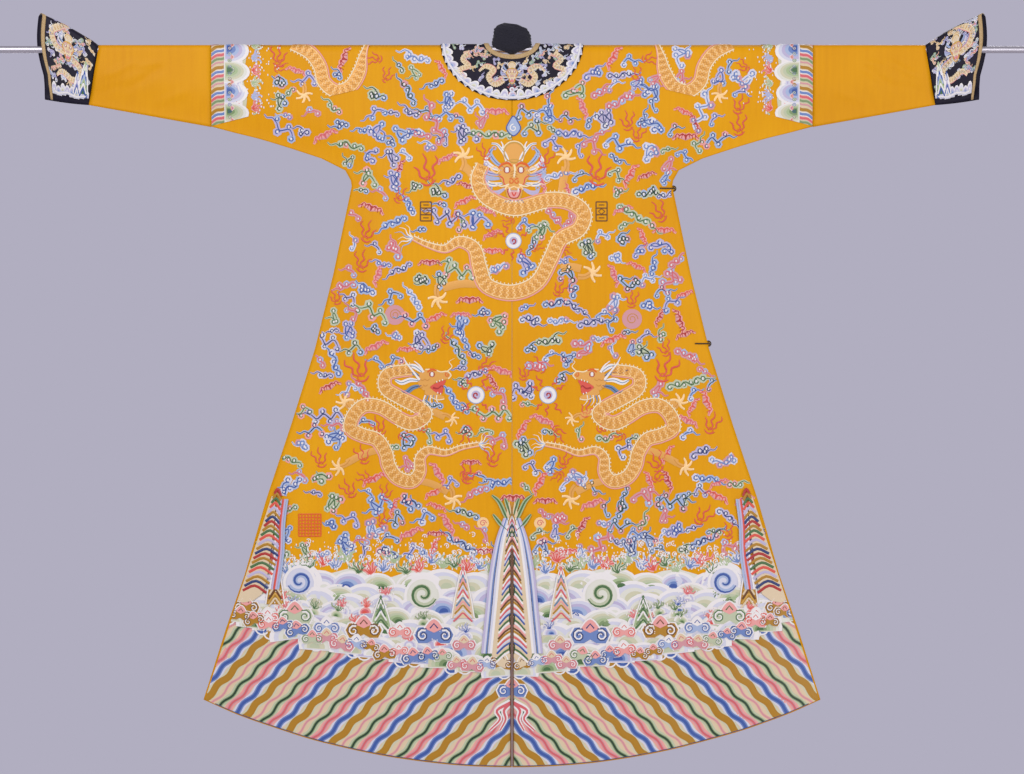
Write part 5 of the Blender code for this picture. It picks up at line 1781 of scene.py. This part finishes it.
neckWrap = {
    # level, left and right reach and half depth of each section, in mm
    "sections": [(-10.5, -7, 7, 5), (-7, -12, 12, 9), (0, -34, 34, 14), (10, -42, 42, 17), (28, -40, 39, 18),
                 (42, -37, 32, 15), (50, -29, 14, 10), (54, -22, -8, 4)],
    "turns": 5,
    "ridge": 0.7,
    "holeRadius": 7.4 * mm,
}


def makeNeckWrap():
    # a strip of cotton wound round the rod, its turns showing as soft ridges
    roll = bmesh.new()
    bmesh.ops.create_uvsphere(roll, u_segments=72, v_segments=44, radius=1)
    levels, *columns = zip(*neckWrap["sections"])
    for vert in roll.verts:
        x, y, z = vert.co
        level = mix(levels[0], levels[-1], (z + 1) / 2)
        left, right, deep = (np.interp(level, levels, column) for column in columns)
        ring = math.hypot(x, y)
        angle = math.atan2(y, x)
        full = min(1.0, 2.2 * ring)
        winding = neckWrap["turns"] * (z + 0.25 * math.cos(angle))
        ridge = neckWrap["ridge"] * math.sin(2 * math.pi * winding + angle)
        ridge += 0.7 * math.sin(5 * angle + 7 * z)
        reach = max(0.0, (right - left) / 2 - 1.8 + ridge) * full
        through = max(0.0, deep - 1.8 + ridge) * full
        across = math.copysign(abs(math.cos(angle)) ** 0.7, math.cos(angle))
        into = math.copysign(abs(math.sin(angle)) ** 0.7, math.sin(angle))
        vert.co = Vector(((left + right) / 2 + reach * across, through * into, level)) * mm
    mesh = bpy.data.meshes.new("wound_neck_wrap")
    roll.to_mesh(mesh)
    roll.free()
    holder = bpy.data.objects.new("roll", mesh)
    bpy.context.scene.collection.objects.link(holder)
    bore = bmesh.new()
    bmesh.ops.create_cone(bore, cap_ends=True, segments=40, radius1=neckWrap["holeRadius"],
                          radius2=neckWrap["holeRadius"], depth=0.2,
                          matrix=Matrix.Rotation(math.pi / 2, 4, "Y"))
    boreMesh = bpy.data.meshes.new("bore")
    bore.to_mesh(boreMesh)
    bore.free()
    drill = bpy.data.objects.new("bore", boreMesh)
    bpy.context.scene.collection.objects.link(drill)
    cut = holder.modifiers.new("bore", "BOOLEAN")
    cut.operation = "DIFFERENCE"
    cut.object = drill
    shown = holder.evaluated_get(bpy.context.evaluated_depsgraph_get())
    finished = bpy.data.meshes.new_from_object(shown)
    bpy.data.objects.remove(holder)
    bpy.data.objects.remove(drill)
    finished.shade_smooth()
    finished.set_sharp_from_angle(angle=math.radians(60))
    finished.materials.clear()
    piece = newPiece("wound_neck_wrap", finished, [darkCotton])
    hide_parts("neck_wrap")


def finishNodes():
    for name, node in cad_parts.items():
        finish = None
        if name == "rod":
            finish = rodMetal
        elif name.startswith("ball_"):
            finish = giltBrass
        elif name.startswith(("loop_", "strap_")):
            finish = brownCord
        if finish:
            for i in range(len(node.material_slots)):
                node.material_slots[i].material = finish


makeNeckWrap()
finishNodes()
print("wrap, rod and toggles finished")

for profile in profiles.values():
    bpy.data.objects.remove(profile)
